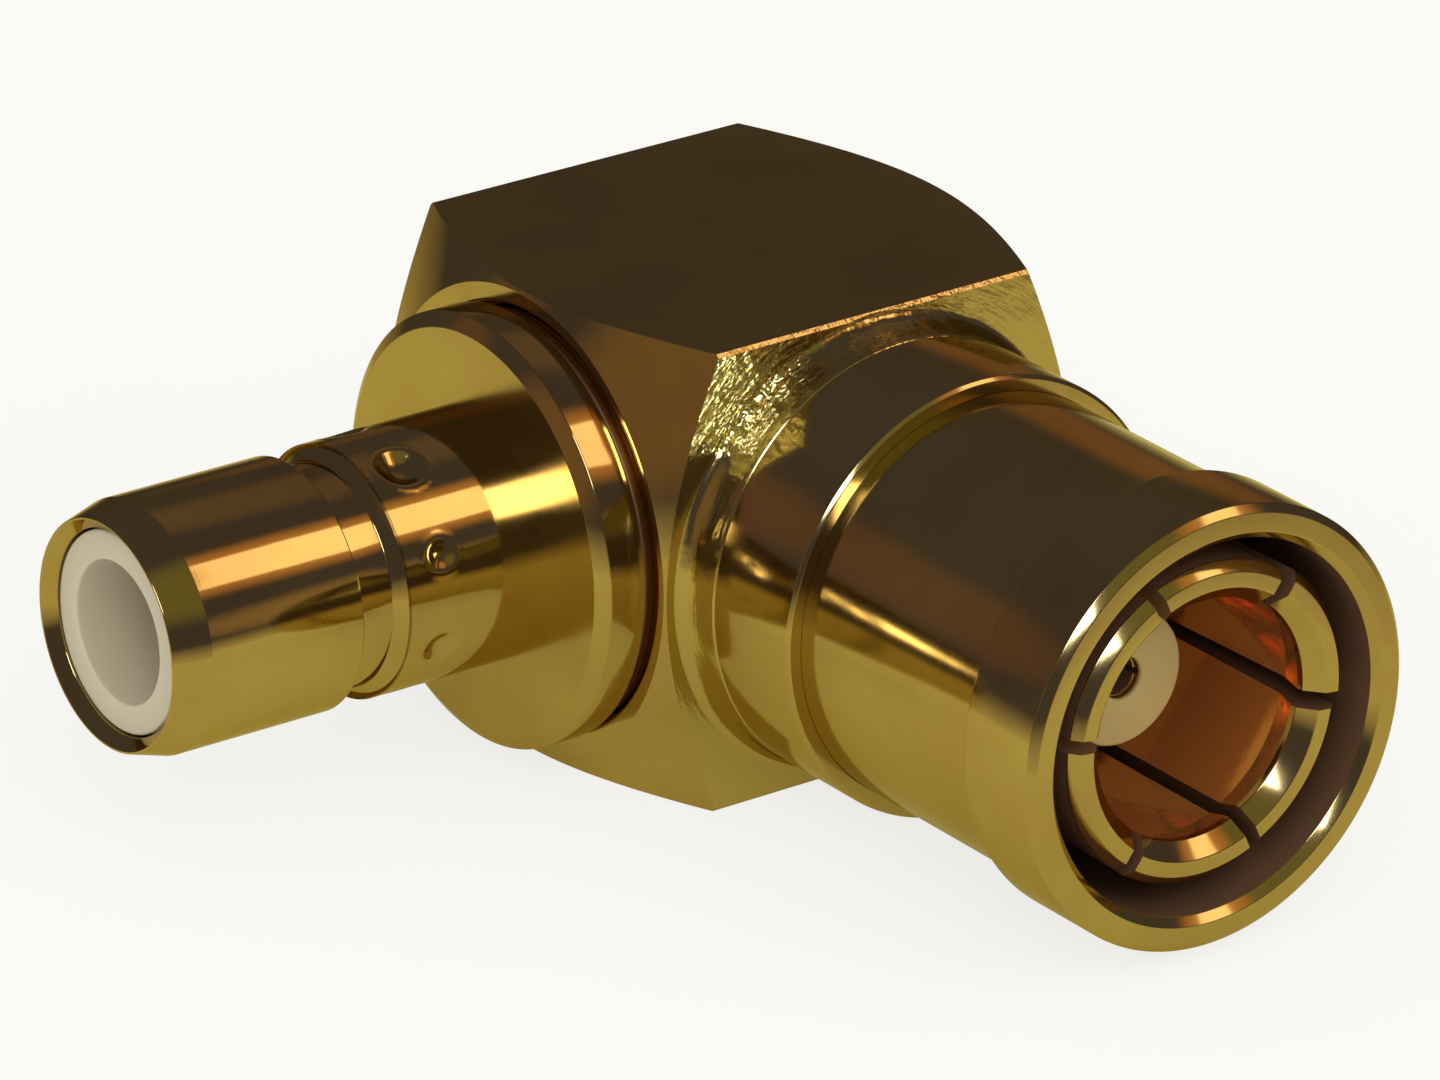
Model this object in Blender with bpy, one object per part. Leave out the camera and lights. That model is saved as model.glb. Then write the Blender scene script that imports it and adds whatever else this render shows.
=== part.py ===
"""Right-angle coaxial adapter with a snap-fit jack on one arm and a snap-fit plug on the other.

Origin on the underside of the square body, straight under the point where the two axes cross.
The jack points along -X, the plug along -Y, and +Z is up. Sizes are in millimetres. A station
is a distance along an arm's axis from the point where the axes cross.
"""

import math

import bmesh
import bpy
from mathutils import Matrix

MM = 0.001

# Fits: the gap left round a piece that is pressed into or seated in another one
PRESS_GAP = 0.03

# How far a cutting tool stands clear of the metal that it cuts
TOOL_OVERRUN = 1.0

# Square bar and its two turned ends
BAR_SIDE = 7.0
BAR_EDGE_BREAK = 0.05
CORNER_STATION = 2.70
END_CONE_ANGLE = 31.5
END_FACE_INSET = 0.04

# Flange at the foot of the jack
FLANGE_RADIUS = 3.20
FLANGE_THICKNESS = 0.73
FLANGE_CHAMFER_IN = 0.21
FLANGE_CHAMFER_BACK = 0.145
RELIEF_WIDTH = 0.12
RELIEF_DEPTH = 0.15

# Jack barrel
JACK_REACH = 10.64
BARREL_RADIUS = 1.85
BARREL_WALL = 0.35
BARREL_ROOT_FILLET = 0.10
NOSE_LENGTH = 0.56
NOSE_TAPER = 0.16
LIP_WIDTH = 0.03
COUNTERSINK_DEPTH = 0.18
GROOVE_FROM_FRONT = 3.08
GROOVE_FLOOR_LENGTH = 0.595
GROOVE_DEPTH = 0.21
GROOVE_FRONT_LEAN = 0.03

# Stake marks that lock the liner in the barrel
STAKE_COUNT = 8
STAKE_WIDTH = 0.88
STAKE_DEPTH = 0.20
STAKE_FROM_FLANGE = 1.70

# Jack liner and pin
LINER_RECESS = 0.19
LINER_BORE_RADIUS = 1.04
LINER_BORE_DEPTH = 3.40
LINER_SEAT_STATION = 2.60
PIN_TIP_RADIUS = 0.25
PIN_TIP_RECESS = 1.34
PIN_TIP_CHAMFER = 0.10
PIN_SHANK_RADIUS = 0.40
PIN_OVERRUN = 0.55

# Round boss that carries the plug
BOSS_RADIUS = 3.32
BOSS_REACH = 5.93
BOSS_CHAMFER = 0.10
BOSS_ROOT_FILLET = 0.08

# Coupling shroud
SHROUD_REACH = 11.35
SHROUD_TUBE_RADIUS = 3.06
SHROUD_RING_RADIUS = 3.255
SHROUD_RING_LENGTH = 1.49
SHROUD_RING_EDGE = 0.03
SHROUD_NOSE_ROUND_LENGTH = 0.25
SHROUD_NOSE_ROUND_HEIGHT = 0.135
SHROUD_BORE_RADIUS = 2.75
SHROUD_BORE_CHAMFER = 0.10
SHROUD_SEAT_DEPTH = 1.30

# Spring collet
COLLET_RECESS = 0.24
COLLET_RADIUS = 2.34
COLLET_LIP_ROUND = 0.10
COLLET_BORE_RADIUS = 1.90
RIDGE_HEIGHT = 0.15
LEAD_IN_LENGTH = 0.13
LEAD_IN_RISE = 0.31
RIDGE_LENGTH = 0.17
COLLET_FLANGE_LENGTH = 0.60
SPIGOT_RADIUS = 2.10
SPIGOT_LENGTH = 1.30
SLOT_COUNT = 6
SLOT_WIDTH = 0.20
SLOT_LENGTH = 3.60
SLOT_START_ANGLE = 54.0

# Plug core and socket
CORE_RADIUS = 1.50
CORE_NOSE_RADIUS = 1.00
CORE_NOSE_RECESS = 1.87
CORE_SEAT_STATION = 2.10
ENTRY_RADIUS = 0.28
ENTRY_DEPTH = 0.30
SOCKET_RADIUS = 0.42
SOCKET_BORE_RADIUS = 0.27
SOCKET_BORE_DEPTH = 2.20
SOCKET_SLOT_WIDTH = 0.10
SOCKET_SLOT_LENGTH = 1.70
TAIL_RADIUS = 0.20
TAIL_STATION = 2.60
TAIL_OVERRUN = 0.34

# Joint chamber, reached from the end opposite the jack
CHAMBER_RADIUS = 1.50
CHAMBER_FLOOR_STATION = 2.00
PORT_RADIUS = 0.80
CAP_RADIUS = 2.10
CAP_THICKNESS = 0.80
CAP_RECESS = 0.05
CAP_EDGE_CHAMFER = 0.10

# Number of sides given to round shapes of each size
SIDES_LARGE = 64
SIDES_MEDIUM = 48
SIDES_SMALL = 24

# Stations and radii that follow from the sizes above
half_bar = BAR_SIDE / 2
corner_radius = half_bar * math.sqrt(2)
end_radius = half_bar - END_FACE_INSET
end_station = CORNER_STATION + (corner_radius - end_radius) * math.tan(math.radians(END_CONE_ANGLE))
flange_back = end_station + RELIEF_WIDTH
flange_front = flange_back + FLANGE_THICKNESS
groove_front = JACK_REACH - GROOVE_FROM_FRONT
groove_floor_back = groove_front - GROOVE_FRONT_LEAN - GROOVE_FLOOR_LENGTH
groove_back = groove_floor_back - GROOVE_DEPTH
jack_bore_radius = BARREL_RADIUS - BARREL_WALL
liner_radius = jack_bore_radius - PRESS_GAP
liner_front = JACK_REACH - LINER_RECESS
liner_bore_floor = liner_front - LINER_BORE_DEPTH
pin_tip = JACK_REACH - PIN_TIP_RECESS
pin_hole_radius = PIN_SHANK_RADIUS + PRESS_GAP
shroud_seat = BOSS_REACH - SHROUD_SEAT_DEPTH
shroud_step = SHROUD_REACH - SHROUD_RING_LENGTH
collet_front = SHROUD_REACH - COLLET_RECESS
ridge_radius = COLLET_BORE_RADIUS - RIDGE_HEIGHT
ridge_front = collet_front - LEAD_IN_LENGTH
ridge_back = ridge_front - RIDGE_LENGTH
collet_stop = ridge_back - GROOVE_FROM_FRONT
spigot_end = shroud_seat - SPIGOT_LENGTH
core_bore_radius = CORE_RADIUS + PRESS_GAP
core_nose = SHROUD_REACH - CORE_NOSE_RECESS - COLLET_RECESS
socket_front = core_nose - ENTRY_DEPTH - PRESS_GAP
cap_seat = end_station - CAP_RECESS - CAP_THICKNESS - PRESS_GAP

# The local +Z of a turned piece is laid along its arm by one of these rotations
JACK_TURN = (0.0, math.radians(-90), 0.0)
PLUG_TURN = (math.radians(90), 0.0, 0.0)
REAR_TURN = (0.0, math.radians(90), 0.0)


def clear_scene():
    """Remove every object, mesh and material that the file holds."""
    for item in list(bpy.data.objects):
        bpy.data.objects.remove(item, do_unlink=True)
    for mesh in list(bpy.data.meshes):
        bpy.data.meshes.remove(mesh)
    for material in list(bpy.data.materials):
        bpy.data.materials.remove(material)


def make_material(name, colour, metallic, roughness):
    """A plain Principled material."""
    material = bpy.data.materials.new(name)
    material.use_nodes = True
    shader = material.node_tree.nodes["Principled BSDF"]
    shader.inputs["Base Color"].default_value = (*colour, 1.0)
    shader.inputs["Metallic"].default_value = metallic
    shader.inputs["Roughness"].default_value = roughness
    material.diffuse_color = (*colour, 1.0)
    return material


def link(name, mesh, turn=(0.0, 0.0, 0.0), parent=None, material=None):
    """Put a mesh in the scene as a named object, turned about the origin."""
    item = bpy.data.objects.new(name, mesh)
    bpy.context.scene.collection.objects.link(item)
    item.rotation_euler = turn
    item.parent = parent
    if material:
        mesh.materials.append(material)
    return item


def as_mesh(name, shape, sharp_angle=30.0):
    """Turn a bmesh in millimetres into a smooth-shaded mesh in metres."""
    bmesh.ops.recalc_face_normals(shape, faces=shape.faces)
    bmesh.ops.scale(shape, vec=(MM, MM, MM), verts=shape.verts)
    mesh = bpy.data.meshes.new(name)
    shape.to_mesh(mesh)
    shape.free()
    mesh.shade_smooth()
    mesh.set_sharp_from_angle(angle=math.radians(sharp_angle))
    return mesh


def arc(centre, radius_z, radius_r, start, end, steps=4):
    """Points (station, radius) along an elliptical arc in a turned profile, angles in degrees from +station."""
    points = []
    for i in range(steps + 1):
        angle = math.radians(start + (end - start) * i / steps)
        points.append((centre[0] + radius_z * math.cos(angle), centre[1] + radius_r * math.sin(angle)))
    return points


def turned(profile, sides):
    """A bmesh revolved about local Z from a closed loop of (station, radius) points."""
    shape = bmesh.new()
    verts = [shape.verts.new((radius, 0.0, station)) for station, radius in profile]
    edges = []
    for i, vert in enumerate(verts):
        following = verts[(i + 1) % len(verts)]
        on_axis = abs(vert.co.x) < 1e-9 and abs(following.co.x) < 1e-9
        if not on_axis:
            edges.append(shape.edges.new((vert, following)))
    bmesh.ops.spin(
        shape,
        geom=verts + edges,
        cent=(0.0, 0.0, 0.0),
        axis=(0.0, 0.0, 1.0),
        angle=math.tau,
        steps=sides,
        use_merge=True,
        use_duplicate=False,
    )
    bmesh.ops.remove_doubles(shape, verts=shape.verts, dist=1e-5)
    return shape


def block(size, centre):
    """A bmesh box of the given size about a centre."""
    shape = bmesh.new()
    bmesh.ops.create_cube(shape, size=1.0)
    bmesh.ops.scale(shape, vec=size, verts=shape.verts)
    bmesh.ops.translate(shape, vec=centre, verts=shape.verts)
    return shape


def combine(target, tool, operation):
    """Cut, join or intersect a piece with a wire tool that isn't itself rendered."""
    tool.hide_render = True
    tool.display_type = "WIRE"
    modifier = target.modifiers.new(tool.name, "BOOLEAN")
    modifier.operation = operation
    modifier.solver = "EXACT"
    modifier.object = tool


def make_bar():
    """Square stock, as long as the finished body, with its four long edges broken."""
    length = end_station + JACK_REACH
    shape = block((length, BAR_SIDE, BAR_SIDE), ((end_station - JACK_REACH) / 2, 0.0, 0.0))
    long_edges = [e for e in shape.edges if abs(e.verts[0].co.x - e.verts[1].co.x) > BAR_SIDE]
    bmesh.ops.bevel(
        shape,
        geom=long_edges,
        offset=BAR_EDGE_BREAK,
        offset_type="OFFSET",
        affect="EDGES",
        segments=1,
        profile=0.5,
        material=-1,
    )
    return shape


def body_turning():
    """Everything the lathe leaves along the jack axis: end cones, flange, barrel, groove and nose."""
    beyond = corner_radius + TOOL_OVERRUN
    beyond_station = CORNER_STATION - (beyond - corner_radius) * math.tan(math.radians(END_CONE_ANGLE))
    relief_radius = FLANGE_RADIUS - RELIEF_DEPTH
    groove_radius = BARREL_RADIUS - GROOVE_DEPTH
    nose_radius = BARREL_RADIUS - NOSE_TAPER
    fillet_centre = (flange_front + BARREL_ROOT_FILLET, BARREL_RADIUS + BARREL_ROOT_FILLET)
    profile = [
        (-end_station, 0.0),
        (-end_station, end_radius),
        (-beyond_station, beyond),
        (beyond_station, beyond),
        (end_station, end_radius),
        (end_station, relief_radius),
        (flange_back, relief_radius),
        (flange_back, FLANGE_RADIUS),
        (flange_front - FLANGE_CHAMFER_BACK, FLANGE_RADIUS),
        (flange_front, FLANGE_RADIUS - FLANGE_CHAMFER_IN),
    ]
    profile += arc(fillet_centre, BARREL_ROOT_FILLET, BARREL_ROOT_FILLET, 180, 270, 3)
    profile += [
        (groove_back, BARREL_RADIUS),
        (groove_floor_back, groove_radius),
        (groove_front - GROOVE_FRONT_LEAN, groove_radius),
        (groove_front, BARREL_RADIUS),
        (JACK_REACH - NOSE_LENGTH, BARREL_RADIUS),
        (JACK_REACH, nose_radius),
        (JACK_REACH, 0.0),
    ]
    return turned(profile, SIDES_LARGE)


def boss_turning():
    """The milled round boss, sunk into the bar so that its root fillet meets the side face."""
    fillet_centre = (half_bar + BOSS_ROOT_FILLET, BOSS_RADIUS + BOSS_ROOT_FILLET)
    profile = [(half_bar / 2, 0.0), (half_bar / 2, BOSS_RADIUS + BOSS_ROOT_FILLET)]
    profile += arc(fillet_centre, BOSS_ROOT_FILLET, BOSS_ROOT_FILLET, 180, 270, 3)
    profile += [
        (BOSS_REACH - BOSS_CHAMFER, BOSS_RADIUS),
        (BOSS_REACH, BOSS_RADIUS - BOSS_CHAMFER),
        (BOSS_REACH, 0.0),
    ]
    return turned(profile, SIDES_LARGE)


def jack_bore():
    """Countersink, liner bore and the port that leads the pin into the joint chamber."""
    past_front = JACK_REACH + TOOL_OVERRUN
    port_start = CHAMBER_FLOOR_STATION - PORT_RADIUS
    lip_radius = BARREL_RADIUS - NOSE_TAPER - LIP_WIDTH
    profile = [
        (port_start, 0.0),
        (past_front, 0.0),
        (past_front, lip_radius),
        (JACK_REACH, lip_radius),
        (JACK_REACH - COUNTERSINK_DEPTH, jack_bore_radius),
        (LINER_SEAT_STATION, jack_bore_radius),
        (LINER_SEAT_STATION, PORT_RADIUS),
        (port_start, PORT_RADIUS),
    ]
    return turned(profile, SIDES_MEDIUM)


def plug_bore():
    """Seats for the shroud, the collet's spigot and the core, and the port into the chamber."""
    past_front = BOSS_REACH + TOOL_OVERRUN
    profile = [
        (0.0, 0.0),
        (past_front, 0.0),
        (past_front, SHROUD_TUBE_RADIUS + PRESS_GAP),
        (shroud_seat, SHROUD_TUBE_RADIUS + PRESS_GAP),
        (shroud_seat, SPIGOT_RADIUS + PRESS_GAP),
        (spigot_end, SPIGOT_RADIUS + PRESS_GAP),
        (spigot_end, core_bore_radius),
        (CORE_SEAT_STATION, core_bore_radius),
        (CORE_SEAT_STATION, PORT_RADIUS),
        (0.0, PORT_RADIUS),
    ]
    return turned(profile, SIDES_MEDIUM)


def rear_bore():
    """Joint chamber and the seat of the access cap, bored from the end opposite the jack."""
    past_end = end_station + TOOL_OVERRUN
    profile = [
        (-CHAMBER_FLOOR_STATION, 0.0),
        (past_end, 0.0),
        (past_end, CAP_RADIUS + PRESS_GAP),
        (cap_seat, CAP_RADIUS + PRESS_GAP),
        (cap_seat, CHAMBER_RADIUS),
        (-CHAMBER_FLOOR_STATION, CHAMBER_RADIUS),
    ]
    return turned(profile, SIDES_MEDIUM)


def stake_marks():
    """Balls set round the barrel that leave the ring of shallow stake marks."""
    ball_radius = ((STAKE_WIDTH / 2) ** 2 + STAKE_DEPTH**2) / (2 * STAKE_DEPTH)
    out = BARREL_RADIUS - STAKE_DEPTH + ball_radius
    station = flange_front + STAKE_FROM_FLANGE
    shape = bmesh.new()
    for i in range(STAKE_COUNT):
        angle = math.tau * (i + 0.5) / STAKE_COUNT
        place = Matrix.Rotation(angle, 4, "Z") @ Matrix.Translation((out, 0.0, station))
        face_out = place @ Matrix.Rotation(math.radians(90), 4, "Y")
        bmesh.ops.create_uvsphere(
            shape, u_segments=16, v_segments=14, radius=ball_radius, matrix=face_out
        )
    return shape


def make_body(arms, gold):
    """The one machined piece that everything else is pressed into."""
    body = link("body", as_mesh("body", make_bar()), parent=arms["root"], material=gold)
    tools = [
        ("body_turning", body_turning(), "jack", "INTERSECT"),
        ("boss_turning", boss_turning(), "plug", "UNION"),
        ("stake_marks", stake_marks(), "jack", "DIFFERENCE"),
        ("jack_bore", jack_bore(), "jack", "DIFFERENCE"),
        ("plug_bore", plug_bore(), "plug", "DIFFERENCE"),
        ("rear_bore", rear_bore(), "rear", "DIFFERENCE"),
    ]
    for name, shape, arm, operation in tools:
        tool = link(name, as_mesh(name, shape), parent=arms[arm], material=gold)
        combine(body, tool, operation)
    return body


def make_shroud(arms, gold):
    """Stepped tube round the collet, thicker at its mouth and rounded at the front."""
    nose_centre = (
        SHROUD_REACH - SHROUD_NOSE_ROUND_LENGTH,
        SHROUD_RING_RADIUS - SHROUD_NOSE_ROUND_HEIGHT,
    )
    profile = [
        (shroud_seat + PRESS_GAP, SHROUD_BORE_RADIUS),
        (shroud_seat + PRESS_GAP, SHROUD_TUBE_RADIUS),
        (shroud_step, SHROUD_TUBE_RADIUS),
        (shroud_step, SHROUD_RING_RADIUS - SHROUD_RING_EDGE),
        (shroud_step + SHROUD_RING_EDGE, SHROUD_RING_RADIUS),
    ]
    profile += arc(nose_centre, SHROUD_NOSE_ROUND_LENGTH, SHROUD_NOSE_ROUND_HEIGHT, 90, 0, 5)
    profile += [
        (SHROUD_REACH, SHROUD_BORE_RADIUS + SHROUD_BORE_CHAMFER),
        (SHROUD_REACH - SHROUD_BORE_CHAMFER, SHROUD_BORE_RADIUS),
    ]
    mesh = as_mesh("shroud", turned(profile, SIDES_LARGE))
    return link("shroud", mesh, parent=arms["plug"], material=gold)


def collet_slots():
    """Thin blades, one for each gap between two fingers, from the bore outwards."""
    shape = bmesh.new()
    inner = core_bore_radius / 2
    depth = COLLET_RADIUS + TOOL_OVERRUN - inner
    length = SLOT_LENGTH + TOOL_OVERRUN
    middle = collet_front + TOOL_OVERRUN - length / 2
    for i in range(SLOT_COUNT):
        angle = math.radians(SLOT_START_ANGLE) + math.tau * i / SLOT_COUNT
        place = Matrix.Rotation(angle, 4, "Z") @ Matrix.Translation((inner + depth / 2, 0.0, middle))
        size = Matrix.Diagonal((depth, SLOT_WIDTH, length, 1.0))
        bmesh.ops.create_cube(shape, size=1.0, matrix=place @ size)
    return shape


def make_collet(arms, gold):
    """Spring outer contact of the plug: spigot, flange, and fingers with a snap ridge inside."""
    base = shroud_seat + PRESS_GAP
    lip_centre = (collet_front - COLLET_LIP_ROUND, COLLET_RADIUS - COLLET_LIP_ROUND)
    profile = [
        (spigot_end + PRESS_GAP, core_bore_radius),
        (spigot_end + PRESS_GAP, SPIGOT_RADIUS),
        (base, SPIGOT_RADIUS),
        (base, SHROUD_BORE_RADIUS - PRESS_GAP),
        (base + COLLET_FLANGE_LENGTH, SHROUD_BORE_RADIUS - PRESS_GAP),
        (base + COLLET_FLANGE_LENGTH, COLLET_RADIUS),
    ]
    profile += arc(lip_centre, COLLET_LIP_ROUND, COLLET_LIP_ROUND, 90, 0, 3)
    profile += [
        (collet_front, ridge_radius + LEAD_IN_RISE),
        (ridge_front, ridge_radius),
        (ridge_back, ridge_radius),
        (ridge_back - RIDGE_HEIGHT, COLLET_BORE_RADIUS),
        (collet_stop, COLLET_BORE_RADIUS),
        (collet_stop, core_bore_radius),
    ]
    collet = link("collet", as_mesh("collet", turned(profile, SIDES_LARGE)), parent=arms["plug"], material=gold)
    slots = link("collet_slots", as_mesh("collet_slots", collet_slots()), parent=arms["plug"])
    combine(collet, slots, "DIFFERENCE")
    return collet


def make_jack_insulator(arms, white):
    """Liner of the barrel: open round the pin's tip, and closed round its shank."""
    profile = [
        (LINER_SEAT_STATION + PRESS_GAP, pin_hole_radius),
        (LINER_SEAT_STATION + PRESS_GAP, liner_radius),
        (liner_front, liner_radius),
        (liner_front, LINER_BORE_RADIUS),
        (liner_bore_floor, LINER_BORE_RADIUS),
        (liner_bore_floor, pin_hole_radius),
    ]
    mesh = as_mesh("jack_insulator", turned(profile, SIDES_MEDIUM))
    return link("jack_insulator", mesh, parent=arms["jack"], material=white)


def make_jack_pin(arms, gold):
    """Centre contact of the jack, cross-drilled where the plug's tail passes through it."""
    step = PIN_SHANK_RADIUS - PIN_TIP_RADIUS
    profile = [
        (-PIN_OVERRUN, 0.0),
        (-PIN_OVERRUN, PIN_SHANK_RADIUS),
        (liner_bore_floor - step, PIN_SHANK_RADIUS),
        (liner_bore_floor, PIN_TIP_RADIUS),
        (pin_tip - PIN_TIP_CHAMFER * 1.5, PIN_TIP_RADIUS),
        (pin_tip, PIN_TIP_RADIUS - PIN_TIP_CHAMFER),
        (pin_tip, 0.0),
    ]
    pin = link("jack_pin", as_mesh("jack_pin", turned(profile, SIDES_SMALL)), parent=arms["jack"], material=gold)
    hole = [
        (-PIN_SHANK_RADIUS * 2, 0.0),
        (PIN_SHANK_RADIUS * 2, 0.0),
        (PIN_SHANK_RADIUS * 2, TAIL_RADIUS + PRESS_GAP),
        (-PIN_SHANK_RADIUS * 2, TAIL_RADIUS + PRESS_GAP),
    ]
    drill = link("pin_cross_hole", as_mesh("pin_cross_hole", turned(hole, SIDES_SMALL)), parent=arms["plug"])
    combine(pin, drill, "DIFFERENCE")
    return pin


def make_plug_insulator(arms, white):
    """Core of the plug: wide in the body and collet, slim where it stands free, with an entry hole."""
    bore = SOCKET_RADIUS + PRESS_GAP
    profile = [
        (CORE_SEAT_STATION + PRESS_GAP, bore),
        (CORE_SEAT_STATION + PRESS_GAP, CORE_RADIUS),
        (collet_stop, CORE_RADIUS),
        (collet_stop, CORE_NOSE_RADIUS),
        (core_nose, CORE_NOSE_RADIUS),
        (core_nose, ENTRY_RADIUS),
        (core_nose - ENTRY_DEPTH, ENTRY_RADIUS),
        (core_nose - ENTRY_DEPTH, bore),
    ]
    mesh = as_mesh("plug_insulator", turned(profile, SIDES_MEDIUM))
    return link("plug_insulator", mesh, parent=arms["plug"], material=white)


def make_plug_socket(arms, gold):
    """Centre contact of the plug: a slotted socket in front, and a thin tail into the jack pin."""
    profile = [
        (-TAIL_OVERRUN, 0.0),
        (-TAIL_OVERRUN, TAIL_RADIUS),
        (TAIL_STATION, TAIL_RADIUS),
        (TAIL_STATION, SOCKET_RADIUS),
        (socket_front, SOCKET_RADIUS),
        (socket_front, SOCKET_BORE_RADIUS),
        (socket_front - SOCKET_BORE_DEPTH, SOCKET_BORE_RADIUS),
        (socket_front - SOCKET_BORE_DEPTH, 0.0),
    ]
    socket = link(
        "plug_socket", as_mesh("plug_socket", turned(profile, SIDES_SMALL)), parent=arms["plug"], material=gold
    )
    length = SOCKET_SLOT_LENGTH + TOOL_OVERRUN
    centre = (0.0, 0.0, socket_front + TOOL_OVERRUN - length / 2)
    blade = link(
        "socket_slot",
        as_mesh("socket_slot", block((SOCKET_RADIUS * 4, SOCKET_SLOT_WIDTH, length), centre)),
        parent=arms["plug"],
    )
    combine(socket, blade, "DIFFERENCE")
    return socket


def make_rear_cap(arms, gold):
    """Pressed disc that closes the joint chamber."""
    outer = end_station - CAP_RECESS
    profile = [
        (cap_seat + PRESS_GAP, 0.0),
        (cap_seat + PRESS_GAP, CAP_RADIUS),
        (outer - CAP_EDGE_CHAMFER, CAP_RADIUS),
        (outer, CAP_RADIUS - CAP_EDGE_CHAMFER),
        (outer, 0.0),
    ]
    mesh = as_mesh("rear_cap", turned(profile, SIDES_MEDIUM))
    return link("rear_cap", mesh, parent=arms["rear"], material=gold)


def make_arms():
    """Empties that carry the pieces: one where the axes cross, and one for each turned direction."""
    root = bpy.data.objects.new("axes_crossing", None)
    root.location.z = half_bar * MM
    bpy.context.scene.collection.objects.link(root)
    arms = {"root": root}
    for name, turn in (("jack", JACK_TURN), ("plug", PLUG_TURN), ("rear", REAR_TURN)):
        arm = bpy.data.objects.new(name + "_arm", None)
        bpy.context.scene.collection.objects.link(arm)
        arm.rotation_euler = turn
        arm.parent = root
        arms[name] = arm
    return arms


def main():
    clear_scene()
    gold = make_material("gold_plated_brass", (0.82, 0.56, 0.20), 1.0, 0.18)
    contact_gold = make_material("gold_plated_contact", (0.86, 0.60, 0.22), 1.0, 0.22)
    white = make_material("white_fluoropolymer", (0.78, 0.76, 0.70), 0.0, 0.45)
    arms = make_arms()
    make_body(arms, gold)
    make_shroud(arms, gold)
    make_collet(arms, gold)
    make_jack_insulator(arms, white)
    make_jack_pin(arms, contact_gold)
    make_plug_insulator(arms, white)
    make_plug_socket(arms, contact_gold)
    make_rear_cap(arms, gold)


main()
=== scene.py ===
"""Looks of a right-angle coaxial adapter: polished gold plating and white fluoropolymer.

The jack points along -X, the plug along -Y, +Z is up, and the body's underside lies at z = 0.
Sizes are kept in metres as properties; a station is a distance along an arm from the point
where the two axes cross.
"""

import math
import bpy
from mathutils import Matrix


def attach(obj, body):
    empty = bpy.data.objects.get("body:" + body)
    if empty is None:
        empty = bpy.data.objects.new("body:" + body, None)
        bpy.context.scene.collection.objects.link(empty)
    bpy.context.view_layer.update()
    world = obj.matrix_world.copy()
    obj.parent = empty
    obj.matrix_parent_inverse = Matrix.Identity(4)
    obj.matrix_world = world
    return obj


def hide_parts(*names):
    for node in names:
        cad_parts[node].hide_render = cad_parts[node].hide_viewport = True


bl_info = {
    "name": "Coaxial adapter looks",
    "version": (1, 0, 0),
    "blender": (4, 5, 0),
    "location": "View3D > Sidebar > Adapter",
    "description": "Builds the visible pieces, finishes and stage of a right-angle coaxial adapter",
    "category": "Object",
}

import bmesh
import bpy
from bpy.props import FloatProperty, FloatVectorProperty, IntProperty, PointerProperty
from mathutils import Matrix, Vector

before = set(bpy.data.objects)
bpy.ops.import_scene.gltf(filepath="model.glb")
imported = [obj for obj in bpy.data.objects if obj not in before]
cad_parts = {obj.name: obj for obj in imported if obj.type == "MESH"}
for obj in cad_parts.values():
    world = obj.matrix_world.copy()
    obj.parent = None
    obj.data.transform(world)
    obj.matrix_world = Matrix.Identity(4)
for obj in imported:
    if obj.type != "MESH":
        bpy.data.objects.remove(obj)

MM = 0.001

# Number of sides of a turned surface, fine enough that a mirror finish shows no facets
ROUND_SIDES = 360
SMALL_SIDES = 96
# Vertices nearer than this are one, and a band's limits are passed by this much
SAME, MARGIN = 1e-7, 1e-6
# How far a cutter, or a blank that is cut later, passes the metal
OVERRUN = 1.0 * MM
# How far from the faced side its coarse finish reaches along the boss
FACED_REACH = 1.3 * MM
# Radius of the edges in fluoropolymer, on the pin and on the socket
WHITE_EDGE, PIN_EDGE, SOCKET_EDGE = 0.05 * MM, 0.04 * MM, 0.03 * MM
CAP_CHAMFER = 0.1 * MM
# Corners straighter than this stay as they are, and a rounded one takes at most this share of a side
NEARLY_STRAIGHT, CORNER_SHARE = math.radians(172), 0.45
# Edges sharper than this are seen as edges
SHARP = math.radians(18)


def length(name, description, millimetres):
    """A length property whose default is given in millimetres."""
    return FloatProperty(
        name=name, description=description, default=millimetres * MM, unit="LENGTH", precision=5
    )


def colour(name, description, hex_value):
    """A colour property whose default is an sRGB hex value."""
    return FloatVectorProperty(
        name=name, description=description, subtype="COLOR", size=3, min=0, max=1, default=linear(hex_value)
    )


def linear(hex_value):
    """sRGB hex text as a linear colour."""
    channels = [int(hex_value[i : i + 2], 16) / 255 for i in (1, 3, 5)]
    return tuple(c / 12.92 if c <= 0.04045 else ((c + 0.055) / 1.055) ** 2.4 for c in channels)


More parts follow.
